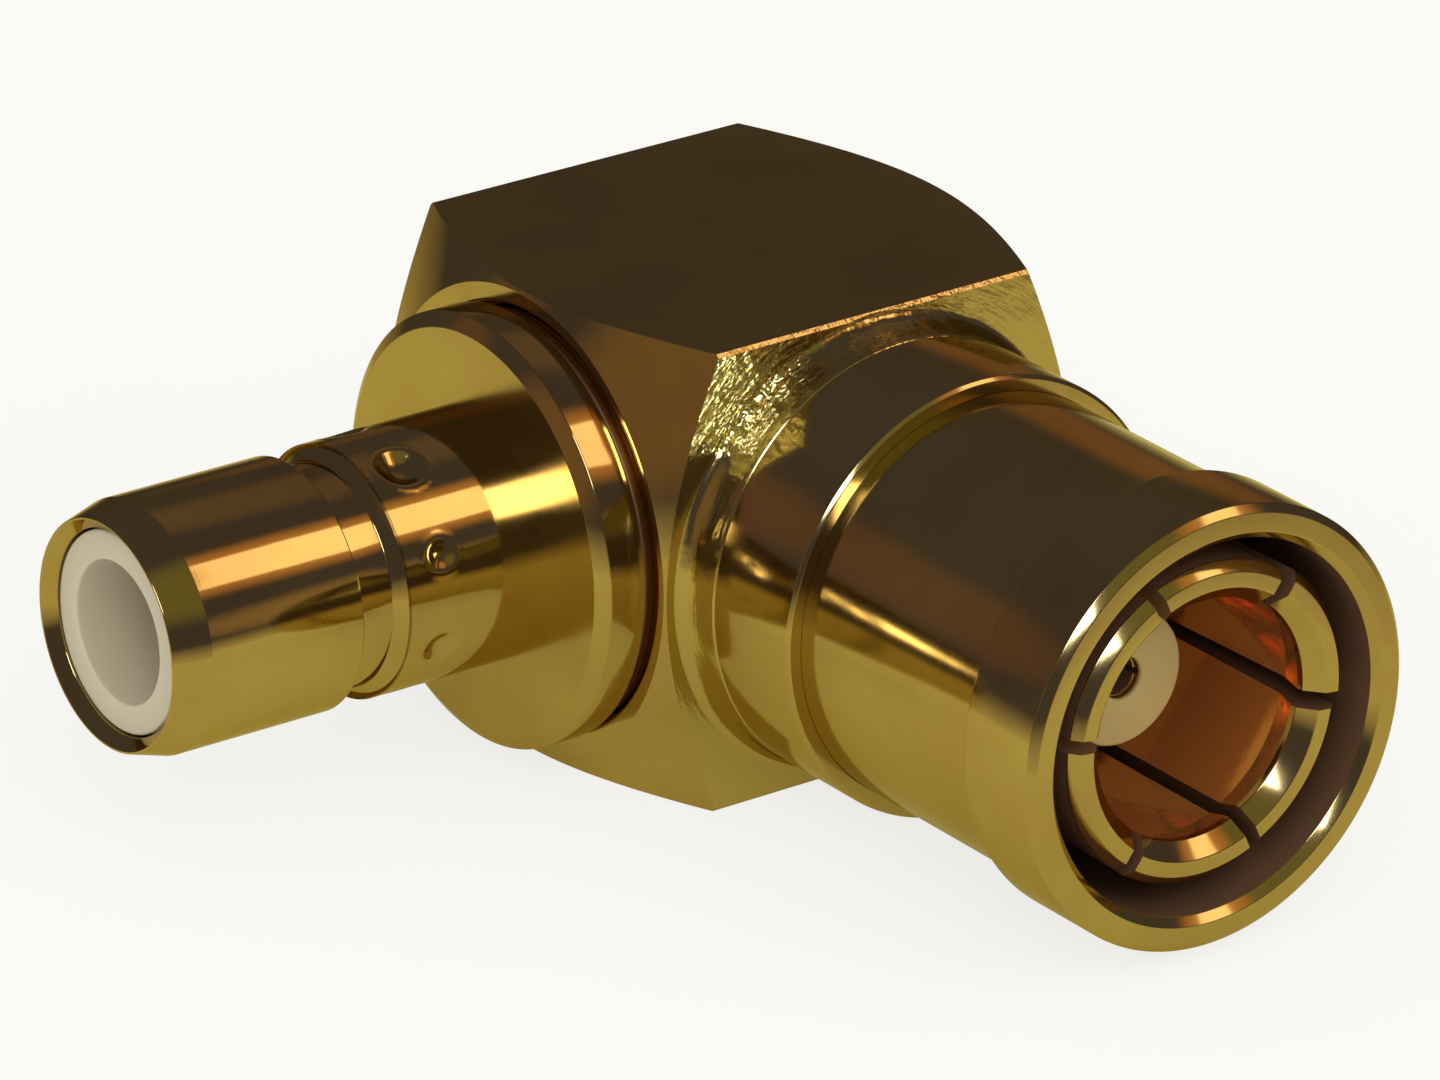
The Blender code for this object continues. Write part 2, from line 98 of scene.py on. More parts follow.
class AdapterBodySizes(bpy.types.PropertyGroup):
    """Square bar, its turned ends, the flange and the boss."""

    bar_side: length("Bar side", "Side of the square bar", 7.0)
    edge_break: length("Edge break", "Width of the bar's broken edges", 0.05)
    corner_station: length("Corner station", "Where an end cone meets the bar's corners", 2.70)
    cone_angle: FloatProperty(
        name="Cone angle",
        description="Lean of the end cones from the end plane",
        default=math.radians(31.5),
        subtype="ANGLE",
    )
    end_inset: length("End inset", "How far the end face stays inside the flats", 0.04)
    flange_radius: length("Flange radius", "Radius of the jack's flange", 3.20)
    flange_thickness: length("Flange thickness", "Thickness of the jack's flange", 0.73)
    flange_chamfer_in: length("Flange chamfer in", "Radial size of the flange chamfer", 0.21)
    flange_chamfer_back: length("Flange chamfer back", "Axial size of the flange chamfer", 0.145)
    relief_width: length("Relief width", "Width of the groove behind the flange", 0.12)
    relief_depth: length("Relief depth", "Depth of the groove behind the flange", 0.15)
    boss_radius: length("Boss radius", "Radius of the plug's boss", 3.29)
    boss_reach: length("Boss reach", "Station of the boss's front", 5.93)
    boss_chamfer: length("Boss chamfer", "Chamfer of the boss's front edge", 0.05)
    boss_fillet: length("Boss fillet", "Radial size of the boss's root fillet", 0.19)
    boss_fillet_length: length("Boss fillet length", "Size of the boss's root fillet along the arm", 0.45)
    boss_line: length("Boss line", "Station of the fine line where the boss's roughed part ends", 4.20)
    boss_line_depth: length("Boss line depth", "Depth of the fine line", 0.025)
    chamber_radius: length("Chamber radius", "Radius of the joint chamber", 1.50)
    chamber_floor: length("Chamber floor", "Station of the chamber's floor towards the jack", 2.00)
    port_radius: length("Port radius", "Radius of the ports into the chamber", 0.80)
    cap_radius: length("Cap radius", "Radius of the rear cap", 2.10)
    cap_thickness: length("Cap thickness", "Thickness of the rear cap", 0.80)
    cap_recess: length("Cap recess", "How deep the rear cap sits", 0.05)
    press_gap: length("Press gap", "Gap round a pressed piece", 0.03)
    tight_gap: length("Tight gap", "Gap that shows between the boss and the shroud", 0.004)
    softness: length("Edge softness", "Radius of the polished edges", 0.03)


class AdapterJackSizes(bpy.types.PropertyGroup):
    """Barrel, liner and pin of the jack."""

    reach: length("Reach", "Station of the jack's front", 10.64)
    barrel_radius: length("Barrel radius", "Radius of the barrel", 1.85)
    barrel_wall: length("Barrel wall", "Wall of the barrel", 0.35)
    nose_length: length("Nose length", "Length of the tapered nose", 0.56)
    nose_taper: length("Nose taper", "Radial size of the nose taper", 0.16)
    lip_width: length("Lip width", "Flat left on the lip", 0.03)
    countersink: length("Countersink", "Depth of the inner countersink", 0.18)
    groove_from_front: length("Groove from front", "Front edge of the snap groove", 3.08)
    groove_floor: length("Groove floor", "Length of the groove's floor", 0.595)
    groove_depth: length("Groove depth", "Depth of the snap groove", 0.21)
    groove_lean: length("Groove lean", "Lean of the groove's front wall", 0.03)
    stake_count: IntProperty(name="Stake count", description="Stake marks on the barrel", default=8, min=1)
    stake_width: length("Stake width", "Width of the widest stake mark", 0.72)
    stake_depth: length("Stake depth", "Depth of the widest stake mark", 0.17)
    stake_rim: length("Stake rim", "Height of the metal pushed up round a stake mark", 0.007)
    stake_from_flange: length("Stake from flange", "Distance of the stake marks from the flange", 1.70)
    liner_recess: length("Liner recess", "How deep the liner's front sits", 0.19)
    liner_bore: length("Liner bore", "Radius of the liner's bore", 1.04)
    liner_bore_depth: length("Liner bore depth", "Depth of the liner's bore", 3.40)
    liner_seat: length("Liner seat", "Station of the liner's rear face", 2.60)
    pin_tip_radius: length("Pin tip radius", "Radius of the pin's tip", 0.25)
    pin_tip_recess: length("Pin tip recess", "How deep the pin's tip sits", 1.34)
    pin_tip_chamfer: length("Pin tip chamfer", "Chamfer of the pin's tip", 0.10)
    pin_shank_radius: length("Pin shank radius", "Radius of the pin's shank", 0.40)
    pin_overrun: length("Pin overrun", "How far the pin passes the plug's axis", 0.55)


class AdapterPlugSizes(bpy.types.PropertyGroup):
    """Shroud, collet, core and socket of the plug."""

    reach: length("Reach", "Station of the shroud's front", 11.35)
    tube_radius: length("Tube radius", "Radius of the shroud's tube", 3.06)
    ring_radius: length("Ring radius", "Radius of the shroud's front ring", 3.255)
    ring_length: length("Ring length", "Length of the shroud's front ring", 1.49)
    ring_edge: length("Ring edge", "Chamfer of the ring's rear edge", 0.03)
    nose_chamfer: length("Nose chamfer", "Chamfer outside the ring's front", 0.11)
    shroud_bore: length("Shroud bore", "Radius of the shroud's bore", 2.75)
    shroud_bore_chamfer: length("Shroud bore chamfer", "Chamfer of the shroud's mouth", 0.12)
    shroud_seat_depth: length("Shroud seat depth", "How deep the shroud sits in the boss", 1.30)
    collet_recess: length("Collet recess", "How deep the collet's front sits", 0.24)
    collet_radius: length("Collet radius", "Radius outside the fingers", 2.34)
    collet_lip_chamfer: length("Collet lip chamfer", "Chamfer outside the fingers' tips", 0.14)
    collet_bore: length("Collet bore", "Radius inside the fingers", 1.90)
    ridge_height: length("Ridge height", "Height of the snap ridge", 0.15)
    ridge_length: length("Ridge length", "Length of the snap ridge", 0.10)
    ridge_slope: length("Ridge slope", "Length of the slope behind the snap ridge", 0.42)
    lead_in_length: length("Lead-in length", "Axial size of the lead-in", 0.23)
    lead_in_rise: length("Lead-in rise", "Radial size of the lead-in", 0.23)
    collet_flange_length: length("Collet flange length", "Length of the collet's flange", 0.60)
    spigot_radius: length("Spigot radius", "Radius of the collet's spigot", 2.10)
    spigot_length: length("Spigot length", "Length of the collet's spigot", 1.30)
    slot_count: IntProperty(name="Slot count", description="Slots between the fingers", default=6, min=2)
    slot_width: length("Slot width", "Width of a slot", 0.20)
    slot_length: length("Slot length", "Length of a slot", 3.60)
    slot_start: FloatProperty(
        name="Slot start", description="Angle of the first slot", default=math.radians(54), subtype="ANGLE"
    )
    finger_flare: length("Finger flare", "How far the most bent finger leans outwards at its tip", 0.10)
    core_radius: length("Core radius", "Radius of the core inside the collet", 1.50)
    core_nose_radius: length("Core nose radius", "Radius of the core where it stands free", 1.00)
    core_nose_recess: length("Core nose recess", "How deep the core's front sits behind the collet's", 1.87)
    core_seat: length("Core seat", "Station of the core's rear face", 2.10)
    entry_radius: length("Entry radius", "Radius of the entry hole", 0.31)
    entry_depth: length("Entry depth", "Depth of the entry hole", 0.10)
    socket_radius: length("Socket radius", "Radius of the socket", 0.42)
    socket_bore: length("Socket bore", "Radius of the socket's bore", 0.27)
    socket_bore_depth: length("Socket bore depth", "Depth of the socket's bore", 2.20)
    socket_slot_width: length("Socket slot width", "Width of the socket's slot", 0.10)
    socket_slot_length: length("Socket slot length", "Length of the socket's slot", 1.70)
    tail_radius: length("Tail radius", "Radius of the socket's tail", 0.20)
    tail_station: length("Tail station", "Where the tail begins", 2.60)
    tail_overrun: length("Tail overrun", "How far the tail passes the jack's axis", 0.34)


class AdapterFinishes(bpy.types.PropertyGroup):
    """Colours of the plating and the insulators."""

    gold: colour("Gold", "Hard gold plating, as it looks against a white sheet", "#ccb881")
    gold_deep: colour("Deep gold", "Gold where the plating is thinner and the brass shows", "#c2a777")
    # Painted sheen: the faced corner gets this pale gold for the lamp light that its rough grains scatter
    gold_torn_painted_sheen: colour("Torn gold", "Gold whose torn grains scatter the light", "#fff2a4")
    gold_edge: colour("Gold at the rim", "Tint that the gold keeps where it is seen edge-on", "#e7dcbc")
    # Painted shade: gaps, slots and bores get this darker brown gold for the shade that falls in them
    gold_shaded_in_gaps: colour("Gold in gaps", "Dull plating in gaps and slots", "#8a6850")
    # Painted reflection: the fingers' bore gets this deep orange gold for the light bounced between its
    # gold walls
    gold_fingers_painted_bounce: colour("Gold in the fingers", "Thin plating inside the spring fingers", "#e8a65e")
    fluoropolymer: colour("Fluoropolymer", "Machined white insulator", "#d5cdb6")
    core: colour("Core", "White insulator in the light that the gold round it throws back", "#cbb679")
    floor: colour("Floor", "Pale sheet under the adapter", "#fdfdfb")
    warm_floor: colour("Warm floor", "The sheet as the dim, warm room lets the metal see it", "#ddd48b")


class AdapterStageSizes(bpy.types.PropertyGroup):
    """Camera, lamps and surroundings."""

    azimuth: FloatProperty(
        name="Azimuth", description="Camera's turn round it", default=math.radians(-36.50), subtype="ANGLE"
    )
    elevation: FloatProperty(
        name="Elevation", description="Camera's height angle", default=math.radians(23.27), subtype="ANGLE"
    )
    roll: FloatProperty(
        name="Roll", description="Camera's roll", default=math.radians(0.543), subtype="ANGLE"
    )
    distance: length("Distance", "Camera's distance from where the axes cross", 150.9)
    aim_right: length("Aim right", "Aim point beside the crossing, along the picture", -0.078)
    aim_up: length("Aim up", "Aim point over the crossing, along the picture", -1.134)
    focal_length: FloatProperty(name="Focal length", description="Lens in millimetres", default=262.2)
    lamp_distance: length("Lamp distance", "Distance of the soft lamps", 160.0)
    lamp_length: length("Lamp length", "Long side of a soft lamp", 58.0)
    lamp_width: length("Lamp width", "Short side of a soft lamp", 40.0)
    floor_radius: length("Floor radius", "Radius of the floor", 4000.0)


def settings():
    """The scene's adapter properties."""
    return bpy.context.scene.adapter


class AdapterSettings(bpy.types.PropertyGroup):
    """All sizes and colours of the adapter."""

    body: PointerProperty(type=AdapterBodySizes)
    jack: PointerProperty(type=AdapterJackSizes)
    plug: PointerProperty(type=AdapterPlugSizes)
    finish: PointerProperty(type=AdapterFinishes)
    stage: PointerProperty(type=AdapterStageSizes)


def arm(name):
    """The matrix that lays local +Z along an arm, from the point where the axes cross."""
    turns = {
        "jack": Matrix.Rotation(math.radians(-90), 4, "Y"),
        "plug": Matrix.Rotation(math.radians(90), 4, "X"),
        "rear": Matrix.Rotation(math.radians(90), 4, "Y"),
    }
    return Matrix.Translation((0, 0, settings().body.bar_side / 2)) @ turns[name]


def softened(points, radius, steps=6, closed=True):
    """A profile with every corner rounded to about the given radius."""
    result = []
    count = len(points)
    for i, point in enumerate(points):
        here = Vector(point)
        before = Vector(points[i - 1])
        after = Vector(points[(i + 1) % count])
        at_end = not closed and i in (0, count - 1)
        to_before = before - here
        to_after = after - here
        if at_end or here.y < 1e-9 or to_before.length < 1e-9 or to_after.length < 1e-9:
            result.append(point)
            continue
        turn = to_before.angle(to_after)
        if turn > NEARLY_STRAIGHT:
            result.append(point)
            continue
        reach = min(radius / math.tan(turn / 2), CORNER_SHARE * min(to_before.length, to_after.length))
        start = here + to_before.normalized() * reach
        end = here + to_after.normalized() * reach
        for k in range(steps + 1):
            t = k / steps
            curve = start * (1 - t) ** 2 + here * (2 * t * (1 - t)) + end * t**2
            result.append((curve.x, curve.y))
    return result


def arc(station, radius, size_along, size_out, start, end, steps=10):
    """Profile points on an elliptical arc about (station, radius), its angles in degrees from the arm."""
    points = []
    for i in range(steps + 1):
        angle = math.radians(start + (end - start) * i / steps)
        points.append((station + size_along * math.cos(angle), radius + size_out * math.sin(angle)))
    return points


def turned(profile, place, sides=ROUND_SIDES, closed=True, slot=0, bands=()):
    """A bmesh spun about an arm from (station, radius) points.

    A band (from station, to station, radius, slot) gives the faces inside it another material.
    """
    shape = bmesh.new()
    verts = [shape.verts.new((radius, 0.0, station)) for station, radius in profile]
    ends = verts[1:] + (verts[:1] if closed else [])
    edges = [shape.edges.new(pair) for pair in zip(verts, ends)]
    bmesh.ops.spin(
        shape,
        geom=verts + edges,
        cent=(0, 0, 0),
        axis=(0, 0, 1),
        angle=math.tau,
        steps=sides,
        use_merge=True,
        use_duplicate=False,
    )
    bmesh.ops.remove_doubles(shape, verts=shape.verts, dist=SAME)
    bmesh.ops.recalc_face_normals(shape, faces=shape.faces)
    for face in shape.faces:
        face.material_index = slot
        middle = face.calc_center_median()
        radius = math.hypot(middle.x, middle.y)
        for low, high, outer, band_slot in bands:
            if low < middle.z < high and radius < outer:
                face.material_index = band_slot
    bmesh.ops.transform(shape, matrix=place, verts=shape.verts)
    return shape


def block(size, place, slot=0):
    """A bmesh box of the given size."""
    shape = bmesh.new()
    bmesh.ops.create_cube(shape, size=1.0, matrix=place @ Matrix.Diagonal((*size, 1.0)))
    for face in shape.faces:
        face.material_index = slot
    return shape


def as_object(name, shape, materials):
    """Link a bmesh with its materials as an object at the origin."""
    mesh = bpy.data.meshes.new(name)
    shape.to_mesh(mesh)
    shape.free()
    for material in materials:
        mesh.materials.append(material)
    item = bpy.data.objects.new(name, mesh)
    bpy.context.scene.collection.objects.link(item)
    return item


def finished(item, *nodes, slot_name):
    """Shade a piece smooth except at real edges, let it ride on the adapter and stand for its CAD node."""
    if not item.data.polygons:
        raise RuntimeError(f"{item.name} came out empty")
    item.data.shade_smooth()
    item.data.set_sharp_from_angle(angle=SHARP)
    flats = item.modifiers.new("true_flats", "WEIGHTED_NORMAL")
    flats.keep_sharp = True
    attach(item, "root")
    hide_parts(*nodes)


def applied(item):
    """Bake an object's modifiers into its mesh."""
    graph = bpy.context.evaluated_depsgraph_get()
    mesh = bpy.data.meshes.new_from_object(
        item.evaluated_get(graph), preserve_all_data_layers=True, depsgraph=graph
    )
    old = item.data
    item.modifiers.clear()
    item.data = mesh
    bpy.data.meshes.remove(old)
    mesh.name = item.name


def combined(item, shape, operation):
    """Cut, join or intersect a piece with a bmesh."""
    tool = as_object("tool", shape, item.data.materials)
    modifier = item.modifiers.new("combine", "BOOLEAN")
    modifier.operation = operation
    modifier.solver = "EXACT"
    modifier.object = tool
    modifier.material_mode = "INDEX"
    applied(item)
    mesh = tool.data
    bpy.data.objects.remove(tool)
    bpy.data.meshes.remove(mesh)


def add(tree, kind, inputs=None, **options):
    """Add a shader node with its options and values. A node as value is linked by its live output."""
    item = tree.nodes.new("ShaderNode" + kind)
    for name, value in options.items():
        setattr(item, name, value)
    for name, value in (inputs or {}).items():
        if isinstance(value, bpy.types.Node):
            value = next(socket for socket in value.outputs if socket.enabled)
        if isinstance(value, bpy.types.NodeSocket):
            tree.links.new(value, item.inputs[name])
        else:
            item.inputs[name].default_value = value
    return item


def new_material(name):
    """An empty node material and its tree."""
    material = bpy.data.materials.new(name)
    material.use_nodes = True
    material.node_tree.nodes.clear()
    return material, material.node_tree


def plated(tree, tone, metallic, dullness, bump):
    """Give a tree a plated metal's surface, with the tint that gold keeps where it is seen edge-on."""
    edge = (*settings().finish.gold_edge, 1)
    shader = add(tree, "BsdfPrincipled", {"Base Color": tone, "Metallic": metallic, "Roughness": dullness,
                                          "Specular Tint": edge, "Normal": bump})
    add(tree, "OutputMaterial", {"Surface": shader})


def turned_gold(name, turn, offset, dullness):
    """Hard gold over turned brass: a mirror with faint rings from the lathe and a slight orange peel."""
    material, tree = new_material(name)
    colours = settings().finish
    place = add(tree, "TexCoord").outputs["Object"]
    along = add(tree, "Mapping", {"Vector": place, "Location": offset, "Rotation": turn},
                vector_type="POINT")
    split = add(tree, "SeparateXYZ", {"Vector": along})
    across = add(tree, "CombineXYZ", {"X": split.outputs["X"], "Y": split.outputs["Y"]})
    radius = add(tree, "VectorMath", {0: across}, operation="LENGTH")
    path = add(tree, "Math", {0: radius, 1: split.outputs["Z"]}, operation="ADD")
    # Feed marks 0.02 mm apart would not show, so they are drawn about 0.06 mm apart
    rings = add(tree, "TexNoise", {"W": path, "Scale": 1 / (0.06 * MM), "Detail": 3.0},
                noise_dimensions="1D")
    peel = add(tree, "TexNoise", {"Vector": place, "Scale": 1 / (0.9 * MM), "Detail": 1.5})
    bump_peel = add(tree, "Bump", {"Height": peel, "Strength": 0.5, "Distance": 0.006 * MM})
    bump = add(tree, "Bump", {"Height": rings, "Strength": 0.35, "Distance": 0.0006 * MM,
                              "Normal": bump_peel})
    tint = add(tree, "TexNoise", {"Vector": place, "Scale": 1 / (2.2 * MM), "Detail": 3.0})
    shade = add(tree, "MapRange", {"Value": tint, "From Min": 0.35, "From Max": 0.7})
    plating = add(tree, "Mix", {"Factor": shade, "A": (*colours.gold, 1), "B": (*colours.gold_deep, 1)},
                  data_type="RGBA")
    plated(tree, plating, 1.0, dullness, bump)
    return material


def inner_gold(name, tone, metallic, dullness, grain_depth):
    """Gold over rough brass: dull in bores and slots, where its darker tone is painted shade, orange in the
    fingers' bore as painted light bounced between gold walls, and grainy on burred edges.
    """
    material, tree = new_material(name)
    place = add(tree, "TexCoord").outputs["Object"]
    grain = add(tree, "TexNoise", {"Vector": place, "Scale": 1 / (0.15 * MM), "Detail": 3.0})
    bump = add(tree, "Bump", {"Height": grain, "Strength": 0.4, "Distance": grain_depth * MM})
    plated(tree, (*tone, 1), metallic, dullness, bump)
    return material


def faced_gold():
    """Gold over a coarsely faced end: broken rings about the plug's axis, deepest at one corner, where a
    pale painted sheen stands for the lamp light its rough grains scatter.
    """
    material, tree = new_material(FACED_GOLD)
    colours = settings().finish
    place = add(tree, "TexCoord").outputs["Object"]
    centred = add(tree, "Mapping", {"Vector": place, "Location": (0, 0, -settings().body.bar_side / 2)},
                  vector_type="POINT")
    split = add(tree, "SeparateXYZ", {"Vector": centred})
    x, y, z = (split.outputs[axis] for axis in "XYZ")
    flat = add(tree, "CombineXYZ", {"X": x, "Z": z})
    radius = add(tree, "VectorMath", {0: flat}, operation="LENGTH")
    turn = add(tree, "Math", {0: z, 1: x}, operation="ARCTAN2")
    across = add(tree, "Math", {0: radius, 1: y}, operation="SUBTRACT")
    ring = add(tree, "Math", {0: across, 1: 1 / (0.09 * MM)}, operation="MULTIPLY")
    # Strokes last about 0.6 mm round a circle of 3.4 mm radius
    stroke = add(tree, "Math", {0: turn, 1: 3.4 / 0.6}, operation="MULTIPLY")
    polar = add(tree, "CombineXYZ", {"X": ring, "Y": stroke})
    marks = add(tree, "TexNoise", {"Vector": polar, "Scale": 1.0, "Detail": 3.0, "Roughness": 0.6})
    waves = add(tree, "TexNoise", {"Vector": place, "Scale": 1 / (0.30 * MM), "Detail": 2.0})
    height = add(tree, "Math", {0: marks, 1: waves}, operation="ADD")
    # The tool tore the corner over 2.1 mm above the axis, 1.2 mm beside it and as far as the boss's root;
    # there the gold is rougher and carries a pale painted sheen
    torn = None
    for value, none, full in ((z, 1.95, 2.15), (x, -1.05, -1.35), (y, -4.15, -3.9)):
        edge = add(tree, "MapRange", {"Value": value, "From Min": none * MM, "From Max": full * MM},
                   interpolation_type="SMOOTHSTEP")
        torn = edge if torn is None else add(tree, "Math", {0: torn, 1: edge}, operation="MULTIPLY")
    # Towards its far side the marks fade and the painted sheen gives way to the darker gold, and the mill
    # left short scratches over the boss's crown
    fainter_marks_and_sheen = add(tree, "MapRange", {"Value": x, "From Min": -2.7 * MM, "From Max": -1.2 * MM},
                  interpolation_type="SMOOTHSTEP")
    crown = add(tree, "MapRange", {"Value": z, "From Min": 2.5 * MM, "From Max": 3.1 * MM, "To Max": 0.2},
                interpolation_type="SMOOTHSTEP")
    rest = add(tree, "Math", {0: fainter_marks_and_sheen, 1: -0.35, 2: 0.95}, operation="MULTIPLY_ADD")
    deep = add(tree, "Math", {0: torn, 1: rest, 2: 0.05}, operation="MULTIPLY_ADD")
    share = add(tree, "Math", {0: deep, 1: crown}, operation="MAXIMUM")
    dull = add(tree, "Math", {0: torn, 1: 0.09, 2: 0.13}, operation="MULTIPLY_ADD")
    bump = add(tree, "Bump", {"Height": height, "Strength": share, "Distance": 0.16 * MM})
    painted_sheen_tone = add(tree, "Mix", {"Factor": fainter_marks_and_sheen, "A": (*colours.gold_torn_painted_sheen, 1),
                               "B": (*colours.gold_deep, 1)}, data_type="RGBA")
    tone = add(tree, "Mix", {"Factor": torn, "A": (*colours.gold, 1), "B": painted_sheen_tone}, data_type="RGBA")
    plated(tree, tone, 1.0, dull, bump)
    return material


def fluoropolymer(name, tone):
    """Machined fluoropolymer: white, waxy and slightly see-through, with faint tool rings."""
    material, tree = new_material(name)
    place = add(tree, "TexCoord").outputs["Object"]
    grain = add(tree, "TexNoise", {"Vector": place, "Scale": 1 / (0.12 * MM), "Detail": 3.0})
    bump = add(tree, "Bump", {"Height": grain, "Strength": 0.3, "Distance": 0.004 * MM})
    shader = add(tree, "BsdfPrincipled", {"Base Color": (*tone, 1), "Roughness": 0.42, "IOR": 1.35,
                                          "Subsurface Weight": 0.35,
                                          "Subsurface Radius": (1.0, 0.9, 0.75),
                                          "Subsurface Scale": 0.35 * MM, "Normal": bump})
    add(tree, "OutputMaterial", {"Surface": shader})
    return material


JACK_GOLD = "gold_turned_on_jack_axis"
PLUG_GOLD = "gold_turned_on_plug_axis"
FACED_GOLD = "gold_over_faced_brass"
INNER_GOLD = "dull_gold_with_painted_shade_in_gaps"
FINGER_GOLD = "gold_in_fingers_with_painted_bounce"
EDGE_GOLD = "gold_over_burred_edges"
FACE_GOLD = "gold_turned_face"
WHITE = "machined_white_fluoropolymer"
CORE_WHITE = "white_fluoropolymer_among_gold"
GOLDS = (JACK_GOLD, PLUG_GOLD, FACED_GOLD, INNER_GOLD, FINGER_GOLD, EDGE_GOLD, FACE_GOLD)
# Slots of the golds on a piece that shows several of them; the INNER slot carries painted shade for gaps
# and slots, and the FINGER slot painted light bounced round the fingers' bore
ON_JACK, ON_PLUG, FACED, INNER, FINGER, EDGE, FACE = range(len(GOLDS))


def material(name):
    """The named finish, made on first use."""
    if name in bpy.data.materials:
        return bpy.data.materials[name]
    half, colours, quarter = settings().body.bar_side / 2, settings().finish, math.radians(90)
    if name in (JACK_GOLD, FACE_GOLD):
        return turned_gold(name, (0, quarter, 0), (-half, 0, 0), 0.08 if name == JACK_GOLD else 0.17)
    if name == PLUG_GOLD:
        return turned_gold(name, (quarter, 0, 0), (0, half, 0), 0.11)
    if name == FACED_GOLD:
        return faced_gold()
    if name in (WHITE, CORE_WHITE):
        return fluoropolymer(name, colours.fluoropolymer if name == WHITE else colours.core)
    # In gaps the tone is painted shade, and in the fingers' bore its orange is painted light bounced
    # between gold walls
    tone, metallic, dullness, grain_depth = {
        INNER_GOLD: (colours.gold_shaded_in_gaps, 0.5, 0.34, 0.006),
        FINGER_GOLD: (colours.gold_fingers_painted_bounce, 0.79, 0.10, 0.006),
        EDGE_GOLD: (colours.gold_deep, 1.0, 0.12, 0.05),
    }[name]
    return inner_gold(name, tone, metallic, dullness, grain_depth)


# Size of each stake mark round the barrel against the widest: a hand-set punch leaves them uneven
STAKE_SIZES = (0.85, 0.75, 0.9, 0.8, 0.7, 0.75, 0.5, 1.0)


def press_stakes(shape, place, station):
    """Push the barrel's wall in at each stake mark, with soft shoulders."""
    jack = settings().jack
    blend, rim_half = 0.045 * MM, 0.13 * MM
    back = place.inverted()
    for vert in shape.verts:
        local = back @ vert.co
        radius = math.hypot(local.x, local.y)
        if abs(radius - jack.barrel_radius) > 0.01 * MM or abs(local.z - station) > jack.stake_width:
            continue
        turn = math.atan2(local.y, local.x)
        step = math.tau / jack.stake_count
        mark = math.floor(turn / step)
        nearest = (mark + 0.5) * step
        share = STAKE_SIZES[mark % len(STAKE_SIZES)]
        width, depth = jack.stake_width * share, jack.stake_depth * share**2
        ball = ((width / 2) ** 2 + depth**2) / (2 * depth)
        centre_out = jack.barrel_radius - depth + ball
        out = radius * math.cos(turn - nearest)
        aside = radius * math.sin(turn - nearest)
        spread = aside**2 + (local.z - station) ** 2
        from_rim = math.sqrt(spread) - width / 2 - rim_half / 2
        if abs(from_rim) < rim_half:
            out += jack.stake_rim * (0.5 + 0.5 * math.cos(math.pi * from_rim / rim_half))
        if spread >= ball**2:
            continue
        floor = centre_out - math.sqrt(ball**2 - spread)
        gap = floor - out
        lowered = out + (gap - math.sqrt(gap**2 + blend**2)) / 2 + blend * 0.1
        moved = min(lowered, out)
        direction = Vector((math.cos(nearest), math.sin(nearest), 0))
        sideways = Vector((-math.sin(nearest), math.cos(nearest), 0))
        vert.co = place @ (direction * moved + sideways * aside + Vector((0, 0, local.z)))


def end_cone():
    """Radius and station of the body's end faces, and how far the cones fall back per unit of radius."""
    body = settings().body
    half = body.bar_side / 2
    lean = math.tan(body.cone_angle)
    radius = half - body.end_inset
    return radius, body.corner_station + (half * math.sqrt(2) - radius) * lean, lean


def bar_blank():
    """The square bar with its long edges broken."""
    body = settings().body
    span = 2 * (settings().jack.reach + OVERRUN)
    shape = block((span, body.bar_side, body.bar_side), Matrix.Translation((0, 0, body.bar_side / 2)))
    for face in shape.faces:
        if face.normal.y < -0.5:
            face.material_index = FACED
    long_edges = [edge for edge in shape.edges if edge.calc_length() > span / 2]
    bmesh.ops.bevel(shape, geom=long_edges, offset=body.edge_break, offset_type="OFFSET", affect="EDGES",
                    segments=1, profile=0.5, material=EDGE)
    return shape


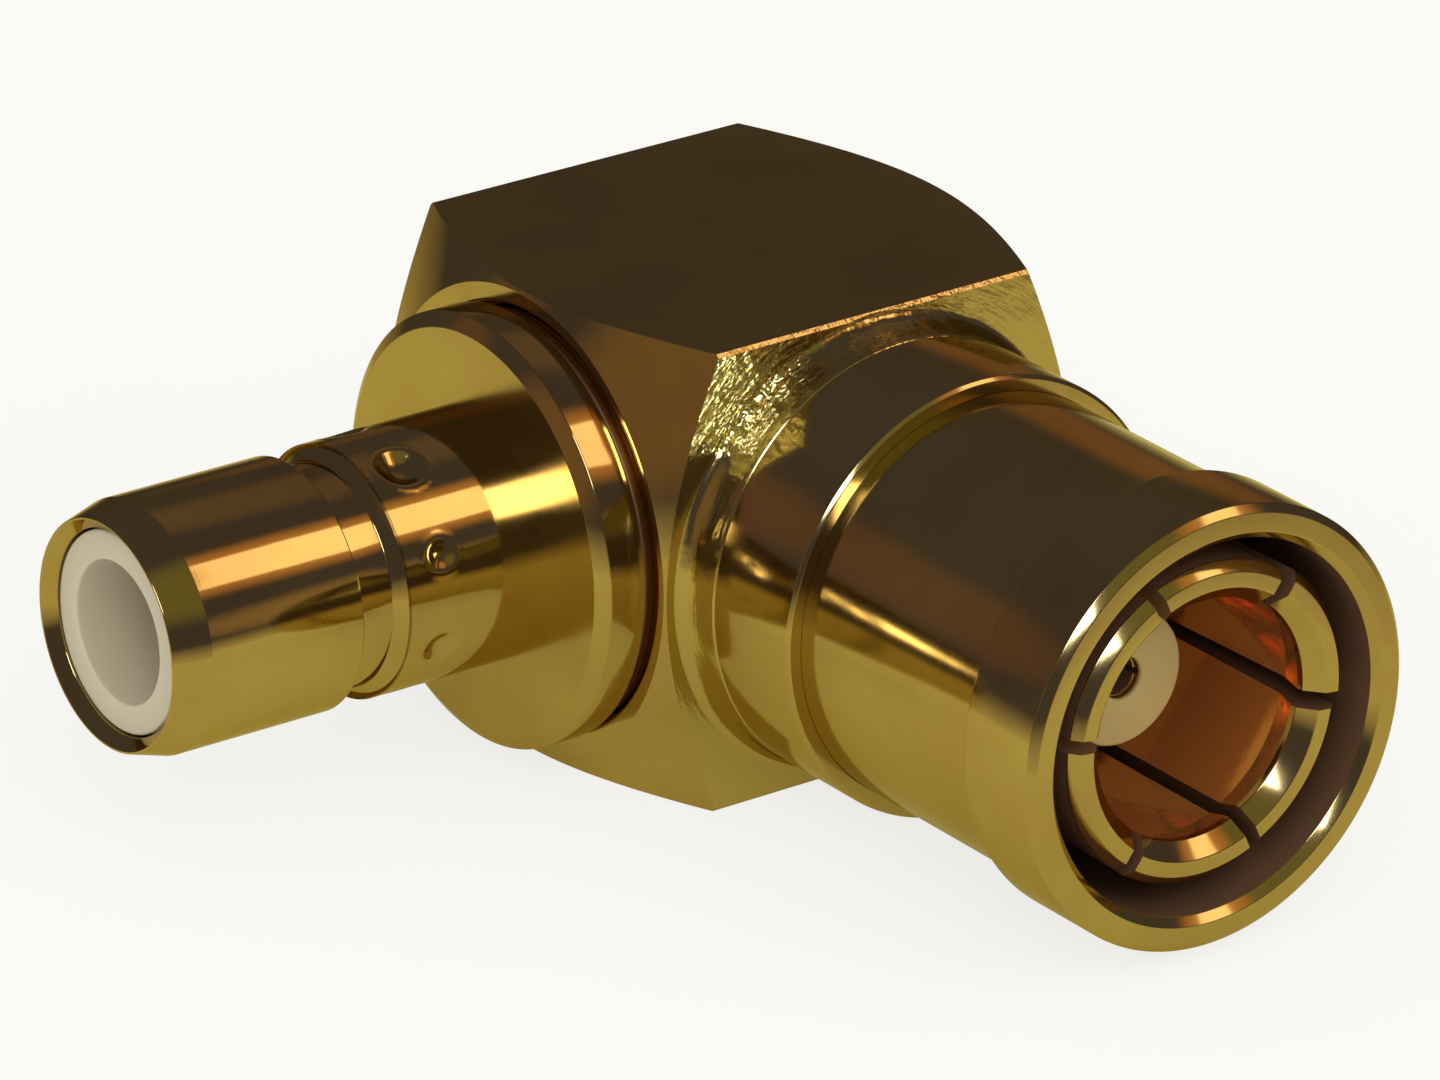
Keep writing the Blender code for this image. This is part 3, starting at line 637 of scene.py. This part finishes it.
def body_profile():
    """The outline that the lathe leaves on the jack axis, inside and out, as a closed loop."""
    body, jack = settings().body, settings().jack
    end_radius, end, lean = end_cone()
    beyond = body.bar_side / 2 * math.sqrt(2) + OVERRUN
    beyond_station = body.corner_station - OVERRUN * lean
    relief = body.flange_radius - body.relief_depth
    flange_back = end + body.relief_width
    flange_front = flange_back + body.flange_thickness
    groove_front = jack.reach - jack.groove_from_front
    groove_floor_back = groove_front - jack.groove_lean - jack.groove_floor
    groove_radius = jack.barrel_radius - jack.groove_depth
    nose_radius = jack.barrel_radius - jack.nose_taper
    bore = jack.barrel_radius - jack.barrel_wall
    cap_seat = end - body.cap_recess - body.cap_thickness - body.press_gap
    stakes = flange_front + jack.stake_from_flange
    soft = body.softness
    outer_cone = softened(
        [
            (-cap_seat, body.chamber_radius), (-cap_seat, body.cap_radius + body.press_gap),
            (-end, body.cap_radius + body.press_gap), (-end, end_radius), (-beyond_station, beyond),
            (beyond_station, beyond), (end, end_radius), (end, relief), (flange_back, relief),
            (flange_back, body.flange_radius),
            (flange_front - body.flange_chamfer_back, body.flange_radius),
            (flange_front, body.flange_radius - body.flange_chamfer_in),
            (flange_front, jack.barrel_radius),
        ],
        soft,
        closed=False,
    )
    band = []
    count = 32
    for i in range(count + 1):
        band.append((stakes + jack.stake_width * 0.9 * (2 * i / count - 1), jack.barrel_radius))
    front = softened(
        [
            band[-1],
            (groove_floor_back - jack.groove_depth, jack.barrel_radius),
            (groove_floor_back, groove_radius), (groove_front - jack.groove_lean, groove_radius),
            (groove_front, jack.barrel_radius), (jack.reach - jack.nose_length, jack.barrel_radius),
            (jack.reach, nose_radius), (jack.reach, nose_radius - jack.lip_width),
            (jack.reach - jack.countersink, bore), (jack.liner_seat, bore),
            (jack.liner_seat, body.port_radius), (body.chamber_floor, body.port_radius),
            (body.chamber_floor, body.chamber_radius), (-cap_seat, body.chamber_radius),
        ],
        soft,
        closed=False,
    )[1:-1]
    relief_band = (end + MARGIN, flange_back - MARGIN, body.flange_radius, INNER)
    face_band = (flange_front - MARGIN, flange_front + MARGIN, body.flange_radius, FACE)
    return outer_cone + band + front, stakes, [relief_band, face_band]


def make_body():
    """Square bar turned at both ends, with the jack barrel and the plug's boss."""
    body, plug = settings().body, settings().plug
    half = body.bar_side / 2
    slots = [material(name) for name in GOLDS]
    profile, stakes, bands = body_profile()
    shape = turned(profile, arm("jack"), bands=bands)
    press_stakes(shape, arm("jack"), stakes)
    item = as_object("adapter_body", shape, slots)
    combined(item, bar_blank(), "INTERSECT")
    fillet = body.boss_fillet
    line, fine = body.boss_line, body.boss_line_depth
    boss = [(half / 2, 0.0), (half / 2, body.boss_radius + fillet)]
    fillet_end = half + body.boss_fillet_length
    boss += arc(fillet_end, body.boss_radius + fillet, body.boss_fillet_length, fillet, 180, 270, 12)
    boss += softened(
        [
            boss[-1],
            (line - fine, body.boss_radius), (line, body.boss_radius - fine),
            (line + fine, body.boss_radius), (body.boss_reach - body.boss_chamfer, body.boss_radius),
            (body.boss_reach, body.boss_radius - body.boss_chamfer),
            (body.boss_reach, plug.tube_radius * 0.9),
        ],
        body.softness * 0.8,
        closed=False,
    )[1:]
    boss += [(body.boss_reach, 0.0)]
    faced_band = (half, half + FACED_REACH, math.inf, FACED)
    shape = turned(boss, arm("plug"), closed=False, slot=ON_PLUG, bands=[faced_band])
    combined(item, shape, "UNION")
    seat = body.boss_reach - plug.shroud_seat_depth
    spigot_end = seat - plug.spigot_length
    gap = body.press_gap
    past = body.boss_reach + OVERRUN
    bores = [
        (0.0, 0.0), (past, 0.0), (past, plug.tube_radius + body.tight_gap),
        (seat, plug.tube_radius + body.tight_gap), (seat, plug.spigot_radius + gap),
        (spigot_end, plug.spigot_radius + gap), (spigot_end, plug.core_radius + gap),
        (plug.core_seat, plug.core_radius + gap), (plug.core_seat, body.port_radius),
        (0.0, body.port_radius),
    ]
    combined(item, turned(bores, arm("plug"), slot=INNER), "DIFFERENCE")
    finished(item, "body", slot_name="gold_body")


def make_shroud():
    """Stepped coupling tube with a rounded, thicker mouth."""
    body, plug = settings().body, settings().plug
    seat = body.boss_reach - plug.shroud_seat_depth + body.press_gap
    step = plug.reach - plug.ring_length
    profile = softened(
        [
            (seat, plug.shroud_bore), (seat, plug.tube_radius), (step, plug.tube_radius),
            (step, plug.ring_radius - plug.ring_edge), (step + plug.ring_edge, plug.ring_radius),
            (plug.reach - plug.nose_chamfer, plug.ring_radius),
            (plug.reach, plug.ring_radius - plug.nose_chamfer),
            (plug.reach, plug.shroud_bore + plug.shroud_bore_chamfer),
            (plug.reach - plug.shroud_bore_chamfer, plug.shroud_bore),
        ],
        body.softness,
    )
    inside = (seat, plug.reach - plug.shroud_bore_chamfer, plug.shroud_bore + MARGIN, INNER)
    shape = turned(profile, arm("plug"), slot=ON_PLUG, bands=[inside])
    item = as_object("coupling_shroud", shape, [material(name) for name in GOLDS])
    finished(item, "shroud", slot_name="gold_body")


# How far each spring finger leans outwards, as a share of the most bent one, from the first slot on
FINGER_LEANS = (0.1, -0.2, 0.0, 0.2, -0.1, 1.0)


def bend_fingers(item, root, tip):
    """Lean each spring finger a little in or out, as use leaves them."""
    plug = settings().plug
    place = arm("plug")
    back = place.inverted()
    step = math.tau / plug.slot_count
    for vert in item.data.vertices:
        local = back @ vert.co
        if local.z <= root:
            continue
        turn = (math.atan2(local.y, local.x) - plug.slot_start) % math.tau
        finger = int(turn / step)
        lean = FINGER_LEANS[finger % len(FINGER_LEANS)]
        out = lean * plug.finger_flare * ((local.z - root) / (tip - root)) ** 2
        middle = plug.slot_start + (finger + 0.5) * step
        local += Vector((math.cos(middle), math.sin(middle), 0)) * out
        vert.co = place @ local


def make_collet():
    """Slotted spring contact with a snap ridge in its mouth."""
    body, plug = settings().body, settings().plug
    base = body.boss_reach - plug.shroud_seat_depth + body.press_gap
    spigot_end = base - plug.spigot_length
    front = plug.reach - plug.collet_recess
    ridge_radius = plug.collet_bore - plug.ridge_height
    ridge_front = front - plug.lead_in_length
    ridge_back = ridge_front - plug.ridge_length
    stop = ridge_back - settings().jack.groove_from_front
    core = plug.core_radius + body.press_gap
    flange = plug.shroud_bore - body.press_gap
    lip = plug.collet_lip_chamfer
    profile = softened(
        [
            (spigot_end, core), (spigot_end, plug.spigot_radius), (base, plug.spigot_radius),
            (base, flange), (base + plug.collet_flange_length, flange),
            (base + plug.collet_flange_length, plug.collet_radius), (front - lip, plug.collet_radius),
            (front, plug.collet_radius - lip), (front, ridge_radius + plug.lead_in_rise),
            (ridge_front, ridge_radius), (ridge_back, ridge_radius),
            (ridge_back - plug.ridge_slope, plug.collet_bore), (stop, plug.collet_bore), (stop, core),
        ],
        body.softness * 1.3,
    )
    bands = [
        (0, front - lip * 1.1, math.inf, INNER), (0, ridge_back, plug.collet_bore + 0.01 * MM, FINGER),
        (ridge_back, front, plug.collet_bore, ON_PLUG),
    ]
    shape = turned(profile, arm("plug"), slot=ON_PLUG, bands=bands)
    item = as_object("spring_collet", shape, [material(name) for name in GOLDS])
    inside = core / 2
    depth = plug.collet_radius + OVERRUN - inside
    span = plug.slot_length + OVERRUN
    middle = front + OVERRUN - span / 2
    slots = bmesh.new()
    for i in range(plug.slot_count):
        angle = plug.slot_start + math.tau * i / plug.slot_count
        turn = arm("plug") @ Matrix.Rotation(angle, 4, "Z")
        place = turn @ Matrix.Translation((inside + depth / 2, 0, middle))
        size = Matrix.Diagonal((depth, plug.slot_width, span, 1))
        bmesh.ops.create_cube(slots, size=1.0, matrix=place @ size)
    for face in slots.faces:
        face.material_index = INNER
    combined(item, slots, "DIFFERENCE")
    bend_fingers(item, front - plug.slot_length, front)
    finished(item, "collet", slot_name="gold_contact")


def make_jack_insulator():
    """White liner of the jack barrel."""
    body, jack = settings().body, settings().jack
    outside = jack.barrel_radius - jack.barrel_wall - body.press_gap
    seat = jack.liner_seat + body.press_gap
    front = jack.reach - jack.liner_recess
    hole = jack.pin_shank_radius + body.press_gap
    profile = softened(
        [
            (seat, hole), (seat, outside), (front, outside), (front, jack.liner_bore),
            (front - jack.liner_bore_depth, jack.liner_bore), (front - jack.liner_bore_depth, hole),
        ],
        WHITE_EDGE,
    )
    item = as_object("jack_liner", turned(profile, arm("jack")), [material(WHITE)])
    finished(item, "jack_insulator", slot_name="fluoropolymer")


def make_jack_pin():
    """Centre pin of the jack, cross-drilled for the plug's tail."""
    body, jack, plug = settings().body, settings().jack, settings().plug
    step_station = jack.reach - jack.liner_recess - jack.liner_bore_depth
    tip = jack.reach - jack.pin_tip_recess
    step = jack.pin_shank_radius - jack.pin_tip_radius
    profile = softened(
        [
            (-jack.pin_overrun, 0.0), (-jack.pin_overrun, jack.pin_shank_radius),
            (step_station - step, jack.pin_shank_radius), (step_station, jack.pin_tip_radius),
            (tip - jack.pin_tip_chamfer * 1.5, jack.pin_tip_radius),
            (tip, jack.pin_tip_radius - jack.pin_tip_chamfer), (tip, 0.0),
        ],
        PIN_EDGE,
        closed=False,
    )
    shape = turned(profile, arm("jack"), sides=SMALL_SIDES, closed=False)
    item = as_object("jack_centre_pin", shape, [material(JACK_GOLD)])
    reach = jack.pin_shank_radius * 2
    drill = plug.tail_radius + body.press_gap
    hole = [(-reach, 0.0), (reach, 0.0), (reach, drill), (-reach, drill)]
    combined(item, turned(hole, arm("plug"), sides=SMALL_SIDES), "DIFFERENCE")
    finished(item, "jack_pin", slot_name="gold_contact")


def make_plug_insulator():
    """White core of the plug, slim where it stands free."""
    body, plug = settings().body, settings().plug
    front = plug.reach - plug.collet_recess
    stop = front - plug.lead_in_length - plug.ridge_length - settings().jack.groove_from_front
    nose = front - plug.core_nose_recess
    seat = plug.core_seat + body.press_gap
    bore = plug.socket_radius + body.press_gap
    profile = softened(
        [
            (seat, bore), (seat, plug.core_radius), (stop, plug.core_radius),
            (stop, plug.core_nose_radius), (nose, plug.core_nose_radius), (nose, plug.entry_radius),
            (nose - plug.entry_depth, plug.entry_radius), (nose - plug.entry_depth, bore),
        ],
        WHITE_EDGE,
    )
    item = as_object("plug_core", turned(profile, arm("plug")), [material(CORE_WHITE)])
    finished(item, "plug_insulator", slot_name="fluoropolymer")


def make_plug_socket():
    """Slotted centre socket of the plug and its tail."""
    body, plug = settings().body, settings().plug
    front = plug.reach - plug.collet_recess - plug.core_nose_recess - plug.entry_depth - body.press_gap
    floor = front - plug.socket_bore_depth
    profile = softened(
        [
            (-plug.tail_overrun, 0.0), (-plug.tail_overrun, plug.tail_radius),
            (plug.tail_station, plug.tail_radius), (plug.tail_station, plug.socket_radius),
            (front, plug.socket_radius), (front, plug.socket_bore), (floor, plug.socket_bore),
            (floor, 0.0),
        ],
        SOCKET_EDGE,
        closed=False,
    )
    bore = (floor - MARGIN, front, plug.socket_bore + MARGIN, INNER)
    shape = turned(profile, arm("plug"), sides=SMALL_SIDES, closed=False, slot=ON_PLUG, bands=[bore])
    item = as_object("plug_centre_socket", shape, [material(name) for name in GOLDS])
    span = plug.socket_slot_length + OVERRUN
    place = arm("plug") @ Matrix.Translation((0, 0, front + OVERRUN - span / 2))
    slot = block((plug.socket_radius * 4, plug.socket_slot_width, span), place, INNER)
    combined(item, slot, "DIFFERENCE")
    finished(item, "plug_socket", slot_name="gold_contact")


def make_rear_cap():
    """Pressed access cap in the end opposite the jack."""
    body = settings().body
    outer = end_cone()[1] - body.cap_recess
    inner = outer - body.cap_thickness
    profile = softened(
        [
            (inner, 0.0), (inner, body.cap_radius), (outer - CAP_CHAMFER, body.cap_radius),
            (outer, body.cap_radius - CAP_CHAMFER), (outer, 0.0),
        ],
        body.softness,
        closed=False,
    )
    item = as_object("access_cap", turned(profile, arm("rear"), closed=False), [material(JACK_GOLD)])
    finished(item, "rear_cap", slot_name="gold_body")


def pointing(azimuth, elevation):
    """A direction from its azimuth, anticlockwise from +X, and elevation, both in degrees."""
    a, e = math.radians(azimuth), math.radians(elevation)
    return Vector((math.cos(a) * math.cos(e), math.sin(a) * math.cos(e), math.sin(e)))


# What the polished metal sees over the horizon, as azimuth, elevation, radius inside which the
# colour is full, radius at which it has faded out, and colour
SURROUND_DARK = "#4e4847"
SURROUND_SHEET = "#ccbc7e"
SURROUND_GLOWS = (
    (35, 48, 5, 20, "#6d5b4b"),
    (49, 9, 4, 14, "#86644a"),
    (128, 16, 3, 14, "#6e5443"),
    (175, 15, 8, 26, "#836948"),
    (-56, 6, 4, 14, "#9a7f58"),
    (-92, 46, 12, 32, "#7b7746"),
    (-42, 44, 10, 20, "#d09553"),
    (-134, 40, 9, 17, "#9b8b4f"),
)
# The room's wall and dome as (height, radius) in metres
ROOM_PROFILE = (
    (0.0002, 0.02), (0.0012, 0.05), (0.006, 0.1), (0.05, 0.26), (0.2, 0.34), (0.35, 0.25), (0.42, 0.0)
)


def surround_material():
    """The dim studio room that mirror metal shows: dark, with warm patches and a glow round each lamp."""
    room, tree = new_material("dim_studio_room")
    place = add(tree, "TexCoord").outputs["Object"]
    centre = (0, 0, settings().body.bar_side / 2)
    away = add(tree, "VectorMath", {0: place, 1: centre}, operation="SUBTRACT")
    look = add(tree, "VectorMath", {0: away}, operation="NORMALIZE")
    height = add(tree, "SeparateXYZ", {"Vector": look}).outputs["Z"]
    # The sheet fades into the dark room between 10 degrees under the horizon and the horizon
    rise = add(tree, "MapRange", {"Value": height, "From Min": math.sin(math.radians(-10)),
                                  "From Max": 0.0})
    last = add(tree, "Mix", {"Factor": rise, "A": (*linear(SURROUND_SHEET), 1),
                             "B": (*linear(SURROUND_DARK), 1)}, data_type="RGBA")
    for azimuth, elevation, full, faded, hex_value in SURROUND_GLOWS:
        facing = add(tree, "VectorMath", {0: look, 1: pointing(azimuth, elevation)},
                     operation="DOT_PRODUCT")
        share = add(tree, "MapRange", {"Value": facing, "From Min": math.cos(math.radians(faded)),
                                       "From Max": math.cos(math.radians(full))},
                    interpolation_type="SMOOTHSTEP")
        last = add(tree, "Mix", {"Factor": share, "A": last, "B": (*linear(hex_value), 1)},
                   data_type="RGBA")
    glow = add(tree, "Emission", {"Color": last, "Strength": 1.0})
    add(tree, "OutputMaterial", {"Surface": glow})
    return room


def floor_material():
    """Pale paper sheet: white in the picture, and in the metal as warm and shaded as the room leaves it."""
    paper, tree = new_material("pale_paper_sheet")
    colours = settings().finish
    path = add(tree, "LightPath").outputs
    tone = add(tree, "Mix", {"Factor": path["Is Glossy Ray"], "A": (*colours.floor, 1),
                             "B": (*colours.warm_floor, 1)}, data_type="RGBA")
    sheet = add(tree, "BsdfDiffuse", {"Color": tone, "Roughness": 0.6})
    white = add(tree, "Emission", {"Color": tone, "Strength": 1.0})
    # The picture shows little of the sheet's shading and the metal most of it
    seen = add(tree, "Math", {0: path["Is Camera Ray"], 1: path["Is Transmission Ray"]},
               operation="MAXIMUM")
    seen = add(tree, "Math", {0: seen, 1: 0.8}, operation="MULTIPLY")
    share = add(tree, "Math", {0: path["Is Glossy Ray"], 1: 0.42, 2: seen}, operation="MULTIPLY_ADD")
    both = add(tree, "MixShader", {"Fac": share, 1: sheet, 2: white})
    add(tree, "OutputMaterial", {"Surface": both})
    return paper


def make_floor():
    """A wide round sheet under the adapter."""
    shape = bmesh.new()
    bmesh.ops.create_circle(shape, cap_ends=True, segments=128, radius=settings().stage.floor_radius)
    item = as_object("floor_sheet", shape, [floor_material()])


def make_surround():
    """A dark room round the lamps, seen only as a reflection."""
    shape = turned(ROOM_PROFILE, Matrix.Identity(4), sides=64, closed=False)
    bmesh.ops.reverse_faces(shape, faces=shape.faces)
    item = as_object("studio_room", shape, [surround_material()])
    for ray in ("camera", "diffuse", "shadow", "transmission", "volume_scatter"):
        setattr(item, "visible_" + ray, False)


def make_lamp(name, back, along, size, distance, radiance, tint, mirrored):
    """A soft rectangular lamp aimed at the adapter, seen by the metal or lighting all the rest."""
    data = bpy.data.lights.new(name, "AREA")
    data.shape = "RECTANGLE"
    data.size, data.size_y = size
    data.color = tint
    data.energy = radiance * math.pi * size[0] * size[1]
    item = bpy.data.objects.new(name, data)
    bpy.context.scene.collection.objects.link(item)
    up = (along - along.dot(back) * back).normalized()
    turn = Matrix((up.cross(back), up, back)).transposed().to_4x4()
    centre = Vector((0, 0, settings().body.bar_side / 2))
    item.matrix_world = Matrix.Translation(centre + back * distance) @ turn
    item.visible_camera = False
    item.visible_diffuse = not mirrored
    item.visible_glossy = mirrored


def make_world():
    """White surroundings for the picture, the sheet's dim, warm tone as painted reflection for the metal,
    and soft light on everything else.
    """
    world = bpy.data.worlds.new("soft_daylight")
    bpy.context.scene.world = world
    world.use_nodes = True
    tree = world.node_tree
    tree.nodes.clear()
    path = add(tree, "LightPath")
    seen = add(tree, "Math", {0: path.outputs["Is Camera Ray"], 1: path.outputs["Is Glossy Ray"]},
               operation="MAXIMUM")
    seen = add(tree, "Math", {0: seen, 1: path.outputs["Is Transmission Ray"]}, operation="MAXIMUM")
    soft = add(tree, "Background", {"Color": (1.0, 0.98, 0.95, 1), "Strength": 0.7})
    tone = add(tree, "Mix", {"Factor": path.outputs["Is Glossy Ray"], "A": (*settings().finish.floor, 1),
                             "B": (*settings().finish.warm_floor, 1)}, data_type="RGBA")
    white = add(tree, "Background", {"Color": tone, "Strength": 1.0})
    both = add(tree, "MixShader", {"Fac": seen, 1: soft, 2: white})
    add(tree, "OutputWorld", {"Surface": both})


def make_camera():
    """The camera at the photograph's angle."""
    stage = settings().stage
    a, e, roll = stage.azimuth, stage.elevation, stage.roll
    back = Vector((math.sin(a) * math.cos(e), -math.cos(a) * math.cos(e), math.sin(e)))
    right = Vector((math.cos(a), math.sin(a), 0))
    up = Vector((-math.sin(a) * math.sin(e), math.cos(a) * math.sin(e), math.cos(e)))
    right, up = (
        math.cos(roll) * right + math.sin(roll) * up,
        -math.sin(roll) * right + math.cos(roll) * up,
    )
    crossing = Vector((0, 0, settings().body.bar_side / 2))
    place = crossing + back * stage.distance
    aim = crossing + right * stage.aim_right + up * stage.aim_up
    z_axis = (place - aim).normalized()
    x_axis = up.cross(z_axis).normalized()
    y_axis = z_axis.cross(x_axis)
    data = bpy.data.cameras.new("product_camera")
    data.sensor_width = 36
    data.lens = stage.focal_length
    data.clip_start = 1 * MM
    data.clip_end = 10
    item = bpy.data.objects.new("product_camera", data)
    item.matrix_world = Matrix.Translation(place) @ Matrix((x_axis, y_axis, z_axis)).transposed().to_4x4()
    bpy.context.scene.collection.objects.link(item)
    bpy.context.scene.camera = item


def make_stage():
    """Camera, floor, world, room and lamps."""
    make_camera()
    make_floor()
    make_surround()
    make_world()
    stage = settings().stage
    # The lamps' long sides lean back from the camera
    slant = Vector((0, 0.81, 0.59))
    box = (stage.lamp_width, stage.lamp_length)
    sheet = (4 * stage.lamp_width, 4 * stage.lamp_length)
    # The metal sees only the mirrored lamps, and the others light only what is not metal
    make_lamp("mirrored_lamp_right", pointing(-42.1, 43.5), slant, box, stage.lamp_distance, 1.42,
              (1.0, 0.84, 0.5), True)
    make_lamp("mirrored_lamp_left", pointing(-132, 39), slant, [1.15 * side for side in box],
              stage.lamp_distance, 8.3, (0.92, 0.97, 1.0), True)
    make_lamp("mouth_light", pointing(-72, 32), slant, sheet, 2.5 * stage.lamp_distance, 1.5,
              (1.0, 0.98, 0.95), False)
    make_lamp("front_light", pointing(-125, 36), Vector((0, 0, 1)), sheet, 2.5 * stage.lamp_distance, 2.5,
              (1.0, 0.93, 0.80), False)
    view = bpy.context.scene.view_settings
    view.view_transform = "Standard"


class ADAPTER_OT_body(bpy.types.Operator):
    """Build the square body with its jack barrel and boss"""

    bl_idname = "adapter.body"
    bl_label = "Body"
    bl_options = {"REGISTER", "UNDO"}

    def execute(self, context):
        make_body()
        return {"FINISHED"}


class ADAPTER_OT_shroud(bpy.types.Operator):
    """Build the coupling shroud"""

    bl_idname = "adapter.shroud"
    bl_label = "Shroud"
    bl_options = {"REGISTER", "UNDO"}

    def execute(self, context):
        make_shroud()
        return {"FINISHED"}


class ADAPTER_OT_collet(bpy.types.Operator):
    """Build the slotted spring collet"""

    bl_idname = "adapter.collet"
    bl_label = "Collet"
    bl_options = {"REGISTER", "UNDO"}

    def execute(self, context):
        make_collet()
        return {"FINISHED"}


class ADAPTER_OT_jack_insulator(bpy.types.Operator):
    """Build the jack's white liner"""

    bl_idname = "adapter.jack_insulator"
    bl_label = "Jack liner"
    bl_options = {"REGISTER", "UNDO"}

    def execute(self, context):
        make_jack_insulator()
        return {"FINISHED"}


class ADAPTER_OT_jack_pin(bpy.types.Operator):
    """Build the jack's centre pin"""

    bl_idname = "adapter.jack_pin"
    bl_label = "Jack pin"
    bl_options = {"REGISTER", "UNDO"}

    def execute(self, context):
        make_jack_pin()
        return {"FINISHED"}


class ADAPTER_OT_plug_insulator(bpy.types.Operator):
    """Build the plug's white core"""

    bl_idname = "adapter.plug_insulator"
    bl_label = "Plug core"
    bl_options = {"REGISTER", "UNDO"}

    def execute(self, context):
        make_plug_insulator()
        return {"FINISHED"}


class ADAPTER_OT_plug_socket(bpy.types.Operator):
    """Build the plug's centre socket"""

    bl_idname = "adapter.plug_socket"
    bl_label = "Plug socket"
    bl_options = {"REGISTER", "UNDO"}

    def execute(self, context):
        make_plug_socket()
        return {"FINISHED"}


class ADAPTER_OT_rear_cap(bpy.types.Operator):
    """Build the pressed access cap"""

    bl_idname = "adapter.rear_cap"
    bl_label = "Rear cap"
    bl_options = {"REGISTER", "UNDO"}

    def execute(self, context):
        make_rear_cap()
        return {"FINISHED"}


class ADAPTER_OT_stage(bpy.types.Operator):
    """Set up the camera, floor, room and lamps"""

    bl_idname = "adapter.stage"
    bl_label = "Stage"
    bl_options = {"REGISTER", "UNDO"}

    def execute(self, context):
        make_stage()
        return {"FINISHED"}


OPERATORS = (
    ADAPTER_OT_body,
    ADAPTER_OT_shroud,
    ADAPTER_OT_collet,
    ADAPTER_OT_jack_insulator,
    ADAPTER_OT_jack_pin,
    ADAPTER_OT_plug_insulator,
    ADAPTER_OT_plug_socket,
    ADAPTER_OT_rear_cap,
    ADAPTER_OT_stage,
)


class ADAPTER_PT_panel(bpy.types.Panel):
    """Lists the adapter's pieces and sizes."""

    bl_label = "Coaxial adapter"
    bl_idname = "ADAPTER_PT_panel"
    bl_space_type = "VIEW_3D"
    bl_region_type = "UI"
    bl_category = "Adapter"

    def draw(self, context):
        layout = self.layout
        for item in OPERATORS:
            layout.operator(item.bl_idname)
        for group in ("body", "jack", "plug", "finish", "stage"):
            values = getattr(context.scene.adapter, group)
            box = layout.box()
            box.label(text=group.capitalize())
            for key in values.bl_rna.properties.keys():
                if key not in ("rna_type", "name"):
                    box.prop(values, key)


CLASSES = [
    AdapterBodySizes,
    AdapterJackSizes,
    AdapterPlugSizes,
    AdapterFinishes,
    AdapterStageSizes,
    AdapterSettings,
    *OPERATORS,
    ADAPTER_PT_panel,
]


def register():
    """Register the classes and the scene's properties."""
    for item in CLASSES:
        bpy.utils.register_class(item)
    bpy.types.Scene.adapter = PointerProperty(type=AdapterSettings)


def unregister():
    """Remove the scene's properties and the classes."""
    del bpy.types.Scene.adapter
    for item in reversed(CLASSES):
        bpy.utils.unregister_class(item)


def main():
    """Build every piece and the stage."""
    register()
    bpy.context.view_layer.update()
    for item in OPERATORS:
        getattr(bpy.ops.adapter, item.bl_idname.removeprefix("adapter."))()


if __name__ == "__main__":
    main()
